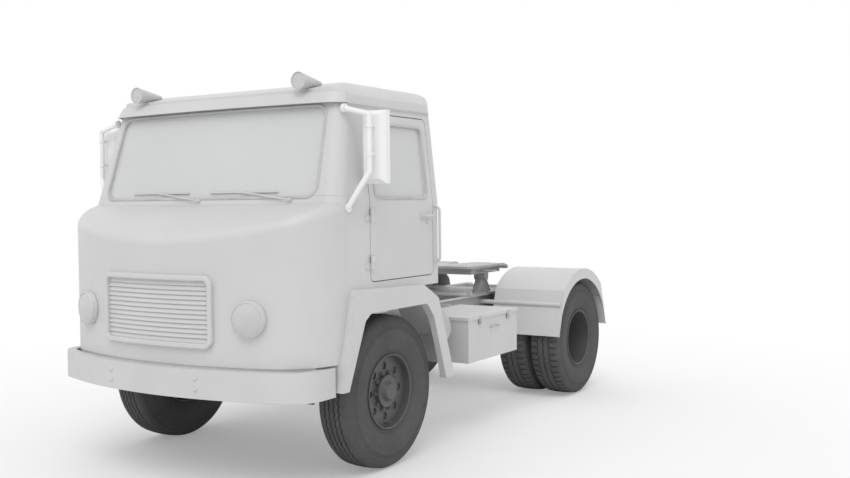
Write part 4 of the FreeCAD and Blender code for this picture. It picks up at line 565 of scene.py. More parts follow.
class Nodes:
    """A node tree with short ways to add to it."""

    def __init__(self, owner):
        owner.use_nodes = True
        self.tree = owner.node_tree

    def node(self, kind, values=(), **settings):
        made = self.tree.nodes.new(kind)
        for name, value in settings.items():
            setattr(made, name, value)
        for name, value in dict(values).items():
            made.inputs[name].default_value = value
        return made

    def link(self, start, end):
        self.tree.links.new(start, end)

    def feed(self, value, socket):
        """Gives an input a link, a colour or a number."""
        if isinstance(value, bpy.types.NodeSocket):
            self.link(value, socket)
        elif isinstance(value, tuple):
            socket.default_value = (*value, 1)
        else:
            socket.default_value = value

    def math(self, operation, first, second):
        made = self.node("ShaderNodeMath", operation=operation)
        self.feed(first, made.inputs[0])
        self.feed(second, made.inputs[1])
        return made.outputs[0]

    def mapped(self, source, low, high, first=0.3, last=0.7):
        made = self.node("ShaderNodeMapRange", {"From Min": first, "From Max": last,
                                                "To Min": low, "To Max": high})
        self.link(source, made.inputs["Value"])
        return made.outputs[0]


class Look(Nodes):
    """A material with its shader."""

    def __init__(self, name):
        self.material = bpy.data.materials.new(name)
        super().__init__(self.material)
        self.shader = self.tree.nodes["Principled BSDF"]
        self.place = self.node("ShaderNodeTexCoord").outputs["Object"]

    def set(self, **values):
        for name, value in values.items():
            self.shader.inputs[name.replace("_", " ")].default_value = value

    def apart(self):
        """The three coordinates of the object."""
        made = self.node("ShaderNodeSeparateXYZ")
        self.link(self.place, made.inputs[0])
        return made.outputs

    def noise(self, scale, detail):
        """Noise value in metres of the object."""
        made = self.node("ShaderNodeTexNoise", {"Scale": scale, "Detail": detail, "Roughness": 0.55})
        self.link(self.place, made.inputs["Vector"])
        return made.outputs[0]

    def wave(self, direction, values, source=None):
        """Bands across a direction."""
        made = self.node("ShaderNodeTexWave", values, bands_direction=direction)
        self.link(source or self.place, made.inputs["Vector"])
        return made.outputs["Fac"]

    def ramp(self, source, stops):
        """Colour ramp over (place, colour) stops."""
        made = self.node("ShaderNodeValToRGB")
        ramp = made.color_ramp
        while len(ramp.elements) < len(stops):
            ramp.elements.new(0.5)
        for element, (place, colour) in zip(ramp.elements, stops):
            element.position = place
            element.color = (*colour, 1)
        self.link(source, made.inputs[0])
        return made.outputs[0]

    def tones(self, colour, scale, detail, dark, light):
        """Blotches of a colour between a darker and a lighter tone."""
        return self.ramp(self.noise(scale, detail), [(0.3, shade(colour, dark)), (0.7, shade(colour, light))])

    def mix(self, share, first, second):
        """Colour mix; a share or colour may be a value or a socket."""
        made = self.node("ShaderNodeMix", data_type="RGBA")
        for socket, value in ((0, share), (6, first), (7, second)):
            self.feed(value, made.inputs[socket])
        return made.outputs[2]

    def colour(self, socket):
        self.link(socket, self.shader.inputs["Base Color"])

    def rough(self, scale, detail, low, high):
        """Roughness that wanders between two values."""
        self.link(self.mapped(self.noise(scale, detail), low, high), self.shader.inputs["Roughness"])

    def bumped(self, height, strength, distance, normal=None):
        """Small relief of the surface."""
        made = self.node("ShaderNodeBump", {"Strength": strength, "Distance": distance})
        self.link(height, made.inputs["Height"])
        if normal:
            self.link(normal, made.inputs["Normal"])
        self.link(made.outputs[0], self.shader.inputs["Normal"])


def shade(colour, factor):
    return tuple(min(1, channel * factor) for channel in colour)


def edge_mask(look, radius, amount):
    """Rounded normal at edges, and a mask of some strength that is bright on them."""
    bevel = look.node("ShaderNodeBevel", {"Radius": radius}, samples=6)
    geometry = look.node("ShaderNodeNewGeometry")
    dot = look.node("ShaderNodeVectorMath", operation="DOT_PRODUCT")
    look.link(bevel.outputs[0], dot.inputs[0])
    look.link(geometry.outputs["Normal"], dot.inputs[1])
    mask = look.mapped(dot.outputs["Value"], 1, 0, 0.75, 0.99)
    return bevel.outputs[0], look.math("MULTIPLY", mask, amount)


def painted(look, colour, rough=0.45, wear=0.10, edge=0.004, dust=0.18):
    """Sprayed enamel: slight mottling, orange peel, rubbed edges and road dust low down."""
    mottled = look.tones(colour, 1.7, 4, 0.97, 1.03)
    rounded, rubbed = edge_mask(look, edge, wear)
    worn = look.mix(rubbed, mottled, shade(colour, 1.35))
    height = look.mapped(look.apart()[2], dust, 0, 0.45, 1.3)
    patch = look.mapped(look.noise(5, 5), 0.3, 1.0)
    look.colour(look.mix(look.math("MULTIPLY", height, patch), worn, (0.45, 0.43, 0.40)))
    look.rough(14, 4, rough - 0.06, rough + 0.08)
    look.bumped(look.noise(900, 2), 0.04, 0.001, rounded)


def cast_iron(look, colour, rough=0.7, grain=0.25):
    """Painted casting or forging: grainy, with oily stains."""
    stops = [(0.3, shade(colour, 0.75)), (0.55, colour), (0.75, shade(colour, 1.2))]
    stained = look.ramp(look.noise(6, 6), stops)
    rounded, rubbed = edge_mask(look, 0.003, 0.3)
    look.colour(look.mix(rubbed, stained, shade(colour, 1.7)))
    look.rough(20, 4, rough - 0.15, rough + 0.1)
    look.bumped(look.noise(350, 4), grain, 0.002, rounded)
    look.set(Metallic=0.15)


def bare_steel(look, colour, rough, metallic):
    """Bright or dull steel, finely scratched and blotched."""
    look.colour(look.tones(colour, 9, 5, 0.8, 1.1))
    look.rough(160, 3, rough - 0.1, rough + 0.14)
    look.bumped(look.noise(500, 3), 0.12, 0.0006)
    look.set(Metallic=metallic)


def rubber(look, colour, rough=0.82, dust=0.5):
    """Tyre rubber: fine grain, with specks of grey dust."""
    speck = look.mapped(look.noise(45, 5), 0, 0.22 * dust, 0.45, 0.8)
    look.colour(look.mix(speck, look.tones(colour, 4, 6, 0.9, 1.12), (0.24, 0.23, 0.21)))
    look.rough(30, 4, rough - 0.08, rough + 0.08)
    look.bumped(look.noise(700, 3), 0.2, 0.0008)
    look.set(Specular_IOR_Level=0.25)


def moulded(look, colour, rough=0.5, grain=0.25):
    """Moulded plastic with a leather-like grain."""
    look.colour(look.tones(colour, 3, 3, 0.94, 1.06))
    cells = look.node("ShaderNodeTexVoronoi", {"Scale": 1400})
    look.link(look.place, cells.inputs["Vector"])
    look.rough(25, 3, rough - 0.06, rough + 0.06)
    look.bumped(cells.outputs[0], grain, 0.0005)


def woven(look, colour):
    """Woven seat cloth: crossed threads, worn paler in random blotches."""
    x, y, z = look.apart()
    laid = look.node("ShaderNodeCombineXYZ")
    look.link(x, laid.inputs[0])
    look.link(look.math("SUBTRACT", z, y), laid.inputs[1])
    threads = [look.wave(direction, {"Scale": 170, "Distortion": 0.6, "Detail Scale": 2}, laid.outputs[0])
               for direction in ("X", "Y")]
    weave = look.math("MULTIPLY", *threads)
    cloth = look.mix(weave, shade(colour, 0.7), shade(colour, 1.25))
    look.colour(look.mix(look.mapped(look.noise(5, 4), 0, 0.4), cloth, shade(colour, 1.1)))
    look.bumped(weave, 0.5, 0.0012)
    look.set(Roughness=0.9, Sheen_Weight=0.3)


def milky_glass(look, colour):
    """Pale safety glass, milky all through, with faint wiper haze."""
    look.colour(look.tones(colour, 1.3, 3, 0.98, 1.02))
    look.rough(6, 5, 0.12, 0.22)
    look.set(Alpha=0.86, IOR=1.5, Coat_Weight=0.3)


def lens_glass(look, colour, rough=0.22, transmission=0.25):
    """Moulded lamp lens."""
    look.colour(look.tones(colour, 8, 3, 0.96, 1.03))
    look.rough(40, 3, rough - 0.05, rough + 0.05)
    look.set(Transmission_Weight=transmission, IOR=1.5)


def finned(look, colour):
    """Finned radiator block: close upright fins between flat tubes, with painted shade in the gaps between
    the fins and along the tubes.
    """
    fin_pattern_and_painted_shade = look.math("MULTIPLY", look.wave("X", {"Scale": 160}), look.wave("Z", {"Scale": 40}))
    # Painted shade: the dark tone between the fins and along the tubes stands in for shade in the gaps, and
    # the lighter tone for the lit fins.
    look.colour(look.mix(fin_pattern_and_painted_shade, shade(colour, 0.45), shade(colour, 1.2)))
    look.bumped(fin_pattern_and_painted_shade, 0.6, 0.002)
    look.set(Roughness=0.5, Metallic=0.6)


def grey(level):
    return (level, level, level)


LOOKS = {
    "cab_paint": (painted, (0.60, 0.60, 0.605)),
    "floor_paint": (painted, (0.40, 0.40, 0.41), 0.6, 0.25, 0.003, 0.0),
    "window_glass": (milky_glass, (0.67, 0.675, 0.68)),
    "lamp_glass": (lens_glass, grey(0.71)),
    "horn_paint": (painted, grey(0.58), 0.4, 0.2, 0.002, 0.0),
    "mirror_housing": (painted, grey(0.84), 0.35, 0.1, 0.004, 0.0),
    "dash_plastic": (moulded, grey(0.30)),
    "black_plastic": (moulded, grey(0.045), 0.35, 0.1),
    "seat_fabric": (woven, (0.35, 0.35, 0.36)),
    "chassis_paint": (painted, grey(0.50), 0.55, 0.2, 0.003, 0.35),
    "spring_steel": (cast_iron, grey(0.28), 0.6, 0.12),
    "axle_iron": (cast_iron, grey(0.28)),
    "engine_iron": (cast_iron, (0.33, 0.34, 0.34), 0.6, 0.3),
    "radiator_metal": (finned, grey(0.25)),
    "exhaust_steel": (bare_steel, (0.40, 0.39, 0.38), 0.55, 0.7),
    "coupling_iron": (cast_iron, grey(0.42), 0.42, 0.2),
    "lamp_red": (moulded, grey(0.42), 0.45, 0.05),
    "tyre_rubber": (rubber, grey(0.088)),
    "wheel_paint": (painted, grey(0.078), 0.5, 0.25, 0.002, 0.08),
    "mirror_silver": (bare_steel, (0.86, 0.87, 0.88), 0.08, 1.0),
    "zinc_plate": (bare_steel, (0.55, 0.55, 0.54), 0.42, 0.8),
    "red_lens": (lens_glass, (0.62, 0.03, 0.02), 0.2, 0.15),
    "amber_lens": (lens_glass, (0.85, 0.33, 0.03), 0.2, 0.15),
    "white_lens": (lens_glass, grey(0.75), 0.2, 0.15),
    "seal_rubber": (rubber, grey(0.50), 0.7, 0.1),
    "black_rubber": (rubber, grey(0.05), 0.75, 0.3),
    "dial_face": (moulded, grey(0.03), 0.4, 0.05),
    "dial_white": (moulded, (0.75, 0.75, 0.72), 0.5, 0.05),
}
looks = {name: Look(name) for name in LOOKS}
for name, (kind, *values) in LOOKS.items():
    kind(looks[name], *values)

slots = {row["node"]: row["material_slot"] for row in frame["record"]["subparts"]}
for name, node in nodes.items():
    node.data.materials.clear()
    node.data.materials.append(looks[slots[name]].material)


# Tyres and wheels


def wall_profile(half):
    """Side wall with its fine ribs, from the bead to the edge of the tread, for the outer side."""
    profile = []
    for (inset, radius), (next_inset, next_radius) in zip(WALL_CURVE, WALL_CURVE[1:]):
        profile.append((half - inset, radius))
        for rib in WALL_RIBS:
            if radius < rib < next_radius:
                rib_inset = inset + (next_inset - inset) * (rib - radius) / (next_radius - radius)
                profile += [(half - rib_inset + RIB_HEIGHT * share, rib + RIB_HALF * place)
                            for place, share in ((-1, 0), (-0.5, 1), (0.5, 1), (1, 0))]
    profile.append((half - WALL_CURVE[-1][0], WALL_CURVE[-1][1]))
    return profile


def tread_columns(edge, grooves):
    """(across, depth) of the points across the tread."""
    wide = GROOVE_WIDTH / 2
    columns = []
    for groove in range(grooves):
        middle = edge * 2 * ((groove + 1) / (grooves + 1) - 0.5)
        columns += [(middle - wide, 0), (middle - wide * GROOVE_TAPER, GROOVE_DEPTH),
                    (middle + wide * GROOVE_TAPER, GROOVE_DEPTH), (middle + wide, 0)]
    return columns


def tyre_ring(half, grooves, sway, cut):
    """Profile of the tyre at one angle: both walls and the tread between them."""
    wall = wall_profile(half)
    edge = half - TREAD_EDGE
    shoulder = edge - edge * 2 / (grooves + 1) + TINY
    cut_depth = GROOVE_DEPTH * cut
    outer = wall[:-3] + [(across, radius - cut_depth * share)
                         for (across, radius), share in zip(wall[-3:], CUT_SHARES)]
    tread = []
    for across, depth in tread_columns(edge, grooves):
        deep = max(depth, cut_depth) if abs(across) > shoulder else depth
        crown = TYRE_RADIUS - CROWN_GAP - CROWN_DROP * ((across + sway) / edge) ** 2
        tread.append((across + sway, crown - deep))
    return [(-across, radius) for across, radius in outer] + tread + list(reversed(outer))


def tyre(bm, middle_x, centre, width, grooves, pattern):
    """Tyre with zigzag grooves round it and, where its pattern has them, shoulder cuts."""
    repeats, stops = pattern
    rings = []
    for index in range(repeats):
        for share, sway, cut in stops:
            angle = 2 * math.pi * (index + share) / repeats
            rings.append([bm.verts.new((middle_x + across, centre.y + radius * math.sin(angle),
                                        centre.z + radius * math.cos(angle)))
                          for across, radius in tyre_ring(width / 2, grooves, sway * ZIGZAG, cut)])
    join_all(bm, rings, True)


def make_tyres():
    outer_x = REAR_HIGH.x - REAR_WIDTH / 2

    def front(bm):
        tyre(bm, (FRONT_LOW.x + FRONT_HIGH.x) / 2, FRONT_AXLE, FRONT_WIDTH, 4, ROAD_TREAD)

    def rear(bm):
        for x in (outer_x, outer_x - TWIN_PITCH):
            tyre(bm, x, REAR_AXLE, REAR_WIDTH, 3, DRIVE_TREAD)
    add_each_side("tyre_front", front, "front_{}_wheel", "tyre_rubber", None, ["front_tyre_{}"], 30)
    add_each_side("tyres_rear", rear, "rear_{}_wheels", "tyre_rubber", None, ["rear_tyres_{}"], 30)


def wheel_fittings(centre, face_x, rim_x, valve_x, valve_reach):
    """Wheel nuts, hub cap bolts, locking ring and tyre valve of one wheel."""
    def spot(x, reach, angle):
        return Vector((x, centre.y + reach * math.sin(angle), centre.z + reach * math.cos(angle)))

    def build(bm):
        for angle in turns(NUT_COUNT, 0.5):
            nut(bm, spot(face_x, NUT_CIRCLE, angle), OUT)
        for angle in turns(CAP_BOLTS):
            rivet(bm, spot(face_x + CAP_OUT, CAP_CIRCLE, angle), OUT, 0.006)
        lathe(bm, RIM_PROFILE, spot(rim_x, 0, 0), OUT, 72, True)
        lathe(bm, VALVE_PROFILE, spot(valve_x, -valve_reach, 0), Vector((1, 0, 0.12)), 12)
    return build


def make_wheels():
    front = wheel_fittings(FRONT_AXLE, FRONT_FACE_X, FRONT_HIGH.x - RIM_INSET, FRONT_FACE_X, 0.228)
    rear = wheel_fittings(REAR_AXLE, REAR_FACE_X, REAR_HIGH.x - RIM_INSET, REAR_FACE_X + 0.02, 0.190)
    add_each_side("wheel_fittings_front", front, "front_{}_wheel", "wheel_paint")
    add_each_side("wheel_fittings_rear", rear, "rear_{}_wheels", "wheel_paint")


# Windows and trim


def seal(name, tree, outline, line_of, body="chassis"):
    """Rubber strip round a window, laid on the skin."""
    path, outward = traced(tree, [line_of(spot) for spot in filled_out(outline)])
    section = [(across * SEAL_WIDTH, out * SEAL_HEIGHT) for across, out in SEAL_SECTION]
    add_piece(name, lambda bm: sweep(bm, path, section, outward, True), "cab_paint", "seal_rubber", body,
              sharp=50)


def make_seals():
    grow = SEAL_WIDTH * SEAL_OVERLAP
    low, high = SCREEN_LOW_Z - grow, SCREEN_HIGH_Z + grow
    screen = [(-SCREEN_HALF_LOW - grow, low), (SCREEN_HALF_LOW + grow, low),
              (SCREEN_HALF_HIGH + grow, high), (-SCREEN_HALF_HIGH - grow, high)]
    seal("windscreen_seal", skin_of("cab_front_panel", "cab_side_left", "cab_side_right", "cab_roof"),
         rounded_outline(screen, SCREEN_ROUND + grow), lambda spot: from_front(*spot))
    window = rectangle(-REAR_WINDOW_HALF, REAR_WINDOW_HALF, REAR_WINDOW_LOW_Z, REAR_WINDOW_HIGH_Z, grow)
    seal("rear_window_seal", skin_of("cab_rear_panel"), rounded_outline(window, REAR_WINDOW_ROUND + grow),
         lambda spot: (at(spot.x, 1.0, spot.y), -BACK))
    front = DOOR_FRONT + DOOR_BORDER - grow
    rear = along(DOOR_REAR - DOOR_BORDER + grow)
    low, high = DOOR_SILL_Z - grow, DOOR_HIGH_Z - DOOR_BORDER + grow
    lean = (DOOR_HIGH_FRONT - DOOR_FRONT) / (DOOR_HIGH_Z - DOOR_LEAN_Z)
    high_front = front + (high - DOOR_LEAN_Z) * lean
    corners = [(along(front), low), (along(high_front), high), (rear, high), (rear, low)]
    outline = rounded_outline(corners, DOOR_GLASS_ROUND + grow)
    for side, sign in (("left", 1), ("right", -1)):
        seal(f"door_window_seal_{side}", skin_of("door_" + side), outline,
             lambda spot, sign=sign: ((sign * 2, spot.x, spot.y), OUT * -sign), side + "_door")


def door_fittings(bm):
    """Outside handle with its lock, on the left door."""
    x, y, z = CAB_SIDE_X, along(HANDLE_Y), HANDLE_Z
    block(bm, (x - 0.002, y - 0.085, z - 0.020), (x + 0.006, y + 0.070, z + 0.020), 0.0035)
    bar = [Vector((x + out, y + behind, z)) for out, behind in
           ((0.004, -0.060), (0.042, -0.056), (0.044, 0.040), (0.004, 0.046))]
    rod(bm, soft_path(bar, 0.014), 0.0085, 12, UP)
    lathe(bm, [(0, 0.012), (0.008, 0.012), (0.011, 0.010)], Vector((x, y + 0.02, z - 0.045)), OUT, 20)


def door_trim(bm):
    """Inside of the left door: armrest, pull and window crank."""
    x = CAB_SIDE_X - DOOR_WALL
    z = ARMREST_Z
    block(bm, at(x - 0.055, 0.02, z - 0.03), at(x + 0.001, 0.34, z + 0.03), 0.014, 3)
    grip = [at(x - inward, y, z + 0.13) for inward, y in ((0, -0.08), (0.05, -0.07), (0.05, 0.05), (0, 0.06))]
    rod(bm, soft_path(grip, 0.018), 0.009, 10, UP)
    hub = at(x, 0.22, z + 0.12)
    lathe(bm, [(0, 0.022), (0.012, 0.020), (0.018, 0.012)], hub, -OUT, 24)
    rod(bm, [hub + Vector(reach) for reach in ((-0.014, 0, 0), (-0.026, 0.05, -0.02), (-0.026, 0.11, -0.03))],
        0.006, 8)
    lathe(bm, [(0, 0.010), (0.03, 0.012), (0.04, 0.009)], hub + Vector((-0.024, 0.11, -0.03)), -OUT, 16)


def grab_rail(bm):
    """Upright rail behind the left door."""
    x = CAB_SIDE_X
    bar = [at(x + stand, GRAB_Y, z) for stand, z in
           ((-0.002, GRAB_LOW_Z), (GRAB_STAND, GRAB_LOW_Z + 0.02), (GRAB_STAND, GRAB_HIGH_Z - 0.02),
            (-0.002, GRAB_HIGH_Z))]
    rod(bm, soft_path(bar, 0.018), 0.010, 12)
    for z in (GRAB_LOW_Z, GRAB_HIGH_Z):
        lathe(bm, [(-0.001, 0.020), (0.004, 0.020), (0.006, 0.016)], at(x, GRAB_Y, z), OUT, 20)


def gutter(bm):
    """Rain gutter over the left door, following the roof's side."""
    lines = [(at(2, GUTTER_FRONT + step * GUTTER_STEP, GUTTER_Z), -OUT) for step in range(25)]
    path, _ = traced(skin_of("cab_side_left", "cab_roof"), lines)
    sweep(bm, path, GUTTER_SECTION, [OUT] * len(path))


def wiper(bm, tree, pivot_x):
    """Wiper parked along the lower edge of the windscreen."""
    base, normal = on_skin(tree, *from_front(pivot_x, WIPER_Z))
    lathe(bm, [(-0.004, 0.015), (0.010, 0.014), (0.020, 0.010), (0.024, 0.006)], base, normal, 20)
    shares = [step / 8 for step in range(9)]
    arm, ups = traced(tree, [from_front(pivot_x + WIPER_REACH * share * 0.62, WIPER_Z + WIPER_RISE * share)
                             for share in shares])
    arm = [hit + out * (0.018 + 0.008 * math.sin(math.pi * share))
           for hit, out, share in zip(arm, ups, shares)]
    sweep(bm, arm, [(-0.005, -0.002), (-0.005, 0.002), (0.005, 0.002), (0.005, -0.002)], ups)
    blade, ups = traced(tree, [from_front(pivot_x + WIPER_REACH * (0.18 + 0.88 * step / 12), BLADE_Z)
                               for step in range(13)])
    sweep(bm, [hit + out * 0.009 for hit, out in zip(blade, ups)],
          [(-0.0045, 0.004), (0.0045, 0.004), (0.002, -0.007), (-0.002, -0.007)], ups)


def wipers(bm):
    tree = skin_of("cab_front_panel", "cab_side_left", "cab_side_right", "cab_glass")
    for pivot_x in WIPER_PIVOTS:
        wiper(bm, tree, pivot_x)


def make_cab_trim():
    add_piece("wipers", wipers, look="horn_paint")
    add_each_side("door_handle", door_fittings, "{}_door", "cab_paint", "horn_paint")
    add_each_side("door_trim", door_trim, "{}_door", "dash_plastic")
    add_piece("grab_rails", both_sides(grab_rail), look="horn_paint")
    add_piece("roof_gutters", both_sides(gutter))


# Grille, lamps, horns and mirrors


def grille_frame(bm):
    """Bevelled frame with cut corners, bowed with the panel."""
    inset = GRILLE_BAND / 2
    cut = GRILLE_CUT - inset * (2 - math.sqrt(2))
    half, low, high = GRILLE_HALF - inset, GRILLE_LOW_Z + inset, GRILLE_HIGH_Z - inset
    corners = [(-half + cut, low), (half - cut, low), (half, low + cut), (half, high - cut),
               (half - cut, high), (-half + cut, high), (-half, high - cut), (-half, low + cut)]
    outline = filled_out(rounded_outline(corners, GRILLE_ROUND, 4))
    path, outward = traced(skin_of("cab_front_panel"), [from_front(*spot) for spot in outline])
    section = [(place * GRILLE_BAND, out * GRILLE_PROUD) for place, out in GRILLE_SECTION]
    sweep(bm, path, section, outward, True)


def grille_blades(bm):
    """Sloping blades that overlap, each open below its lower edge."""
    low, high = GRILLE_LOW_Z + GRILLE_BAND, GRILLE_HIGH_Z - GRILLE_BAND
    pitch = (high - low) / BLADE_COUNT
    half = GRILLE_HALF - GRILLE_BAND + BLADE_END
    bow, outward = traced(skin_of("cab_front_panel"),
                          [from_front(half * (step / 12 - 1), GRILLE_HIGH_Z + 0.020) for step in range(25)])
    outward = [Vector((normal.x, normal.y, 0)).normalized() for normal in outward]
    section = [(share * pitch, out) for share, out in BLADE_SECTION]
    for index in range(BLADE_COUNT):
        z = high - pitch * (index + 0.5)
        sweep(bm, [Vector((spot.x, spot.y, z)) for spot in bow], section, outward)


def horn_screen(bm):
    """Ridged screen inside the bell of the left horn."""
    low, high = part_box("horns")
    mouth = Vector((high.x - BELL_RADIUS, low.y + 0.010, high.z - BELL_RADIUS))
    profile = [(0, 0.0535), (-0.003, 0.0548), (-0.006, 0.053)]
    for radius in (0.042, 0.030, 0.018):
        profile += [(-0.007, radius + 0.004), (-0.0045, radius), (-0.007, radius - 0.004)]
    lathe(bm, profile + [(-0.008, 0)], mouth, BACK, 40)


def lamp_axis():
    """Face and outward direction of the left headlamp, from its solid and the bow of the panel."""
    low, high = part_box("headlamps")
    z = (low.z + high.z) / 2
    (hit, other), _ = traced(skin_of("cab_front_panel"),
                             [from_front(LAMP_X + LAMP_SPAN, z), from_front(LAMP_X - LAMP_SPAN, z)])
    across = (hit - other).normalized()
    outward = Vector((across.y, -across.x, 0))
    bow = (hit - other).length ** 2 / (8 * PANEL_BOW)
    return Vector((LAMP_X, (hit.y + other.y) / 2, z)) + outward * bow, outward


def headlamp_bezel(bm):
    """Drum round the lens, with its rolled front edge and two screws."""
    place, outward = lamp_axis()
    turn = turn_to(outward)
    edge, radius, inner = LAMP_DRUM, LAMP_RADIUS, LAMP_LENS_RADIUS
    lathe(bm, [(0.0005, radius), (edge - 0.012, radius - 0.003), (edge - 0.005, radius - 0.0045),
               (edge - 0.001, radius - 0.0075), (edge, radius - 0.0105), (edge - 0.004, inner - 0.001),
               (0.0005, inner - 0.002)], place, outward, 72, True)
    for sign in (1, -1):
        side = turn @ (BACK * sign)
        rivet(bm, place + outward * edge * 0.4 + side * (radius - 0.002), side, 0.005)


def headlamp_lens(bm):
    """Domed lens with upright flutes between plain bands."""
    place, outward = lamp_axis()
    turn = turn_to(outward)

    def face_height(x, y, share):
        height = LAMP_DRUM - LAMP_LENS_INSET + LAMP_RISE * (1 - share ** 2)
        if share < FLUTE_RIM_SHARE:
            height += FLUTE_HEIGHT * math.cos(x / FLUTE_PITCH * math.pi) * (1 if abs(y) < FLUTE_BAND else 0.3)
        return height
    face = [(step / LENS_RINGS, False) for step in range(LENS_RINGS + 1)]
    rings = []
    for share, behind in face + [(1, True), (0, True)]:
        ring = []
        for angle in turns(LENS_SIDES if share else 1):
            x, y = (LAMP_LENS_RADIUS * share * part for part in (math.cos(angle), math.sin(angle)))
            height = LAMP_LENS_BACK if behind else face_height(x, y, share)
            ring.append(bm.verts.new(place + turn @ Vector((x, y, height))))
        rings.append(ring)
    join_all(bm, rings)


def headlamp_bowl(bm):
    """Housing behind the lens."""
    lathe(bm, [(0.001, LAMP_BOWL_RADIUS), (-LAMP_BOWL_DEPTH, LAMP_BOWL_RADIUS)], *lamp_axis(), 48)


def tail_lens(low_x, high_x):
    """Ribbed lens over a share of the left lamp's rear face."""
    low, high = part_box("tail_lamps")
    rear = high.y
    low_z, high_z = low.z + LENS_MARGIN, high.z - LENS_MARGIN

    def build(bm):
        block(bm, (low_x, rear - 0.002, low_z), (high_x, rear + 0.008, high_z), 0.004, 3)
        for rib in range(LENS_RIBS):
            z = low_z + (high_z - low_z) * (rib + 0.5) / LENS_RIBS
            block(bm, (low_x + 0.006, rear + 0.006, z - 0.0022), (high_x - 0.006, rear + 0.0095, z + 0.0022),
                  0.001, 1)
    return build


def mirror_outline(margin=0):
    """Outline of the pane in the left mirror head, let out by a margin."""
    corners = rectangle(PANE_LOW_X, PANE_HIGH_X, PANE_LOW_Z, PANE_HIGH_Z, margin)
    return rounded_outline(corners, PANE_ROUND + margin)


def mirror_pane(bm):
    """Silvered pane in the rear face of the left mirror head."""
    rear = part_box("mirrors")[1].y
    rings = [[bm.verts.new((spot.x, y, spot.y)) for spot in mirror_outline()]
             for y in (rear - 0.001, rear + 0.0025)]
    capped(bm, rings)


def mirror_rim(bm):
    """Rubber rim that holds the pane."""
    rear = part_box("mirrors")[1].y
    path = [Vector((spot.x, rear, spot.y)) for spot in mirror_outline(PANE_RIM)]
    section = [(-0.005, -0.001), (-0.005, 0.003), (-0.002, 0.0055)]
    section += [(-across, out) for across, out in reversed(section)]
    sweep(bm, path, section, [BACK] * len(path), True)


def mirror_fixings(bm):
    """Bolts in the feet of the left mirror's tube and clamp rings on the tube."""
    for x, y, z in MIRROR_FEET:
        for side in (-1, 1):
            rivet(bm, at(x, y + side * 0.0225, z), OUT, 0.0045)
    for z in MIRROR_CLAMPS:
        lathe(bm, [(-0.014, 0.0185), (-0.014, 0.0215), (0.014, 0.0215), (0.014, 0.0185)],
              at(TUBE_X, TUBE_Y, z), UP, 20, True)


def make_front():
    add_piece("grille_frame", grille_frame, replaces=["grille"])
    add_piece("grille_blades", grille_blades, replaces=["grille"])
    add_piece("headlamp_bezels", both_sides(headlamp_bezel))
    add_piece("headlamp_bowls", both_sides(headlamp_bowl), "lamp_glass", "zinc_plate")
    add_piece("headlamp_lenses", both_sides(headlamp_lens), "lamp_glass", replaces=["headlamps"], sharp=40)
    add_piece("horn_screens", both_sides(horn_screen), "horn_paint")
    for name, low_x, high_x in TAIL_LENSES:
        add_piece("tail_lens_" + name, both_sides(tail_lens(low_x, high_x)), "lamp_red", name + "_lens")
    add_piece("mirror_panes", both_sides(mirror_pane), "mirror_housing", "mirror_silver")
    add_piece("mirror_rims", both_sides(mirror_rim), "mirror_housing", "black_rubber")
    add_piece("mirror_fixings", both_sides(mirror_fixings), "mirror_housing")


# Cab interior


def pad_mesh(name, corners):
    """Closed pad from eight corners, remeshed evenly."""
    mesh = bpy.data.meshes.new(name)
    bm = bmesh.new()
    verts = [bm.verts.new(corner) for corner in corners]
    for face in ((0, 3, 2, 1), (4, 5, 6, 7), (0, 1, 5, 4), (1, 2, 6, 5), (2, 3, 7, 6), (3, 0, 4, 7)):
        bm.faces.new([verts[index] for index in face])
    bmesh.ops.bevel(bm, geom=list(bm.edges), offset=PAD_ROUND, segments=4, affect="EDGES", profile=0.5)
    bm.to_mesh(mesh)
    bm.free()
    pad = bpy.data.objects.new(name, mesh)
    scene.collection.objects.link(pad)
    remesh = pad.modifiers.new("remesh", "REMESH")
    remesh.mode = "VOXEL"
    remesh.voxel_size = PAD_VOXEL
    apply_modifiers(pad)
    return pad


def apply_modifiers(piece):
    """Replaces the mesh of a piece by its evaluated one."""
    bpy.context.view_layer.update()
    depsgraph = bpy.context.evaluated_depsgraph_get()
    mesh = bpy.data.meshes.new_from_object(piece.evaluated_get(depsgraph))
    old = piece.data
    piece.modifiers.clear()
    piece.data = mesh
    bpy.data.meshes.remove(old)


def swell(pad):
    """Cloth under pressure, its points capped to stay near the pad's outline."""
    start = [vert.co.copy() for vert in pad.data.vertices]
    cloth = pad.modifiers.new("cloth", "CLOTH")
    cloth.settings.use_pressure = True
    cloth.settings.uniform_pressure_force = PAD_PRESSURE
    cloth.settings.effector_weights.gravity = 0
    cloth.settings.quality = 4
    for step in range(1, PAD_FRAMES + 1):
        scene.frame_set(step)
    depsgraph = bpy.context.evaluated_depsgraph_get()
    swollen = [vert.co.copy() for vert in pad.evaluated_get(depsgraph).data.vertices]
    pad.modifiers.clear()
    scene.frame_set(1)
    for vert, before, after in zip(pad.data.vertices, start, swollen):
        shift = after - before
        if shift.length > PAD_CAP:
            shift = shift * (PAD_CAP / shift.length)
        vert.co = before + shift


def pull_channels(pad, middle_x, facing):
    """Sewn channels, pressed into the pad's front."""
    normals = [normal.vector.copy() for normal in pad.data.vertex_normals]
    for vert, normal in zip(pad.data.vertices, normals):
        depth = 0.0
        for share in CHANNEL_SHARES:
            away = (vert.co.x - middle_x - share * SEAT_HALF) / CHANNEL_WIDTH
            depth += CHANNEL_DEPTH * math.exp(-away * away)
        vert.co -= normal * depth * max(0.0, normal.dot(facing))


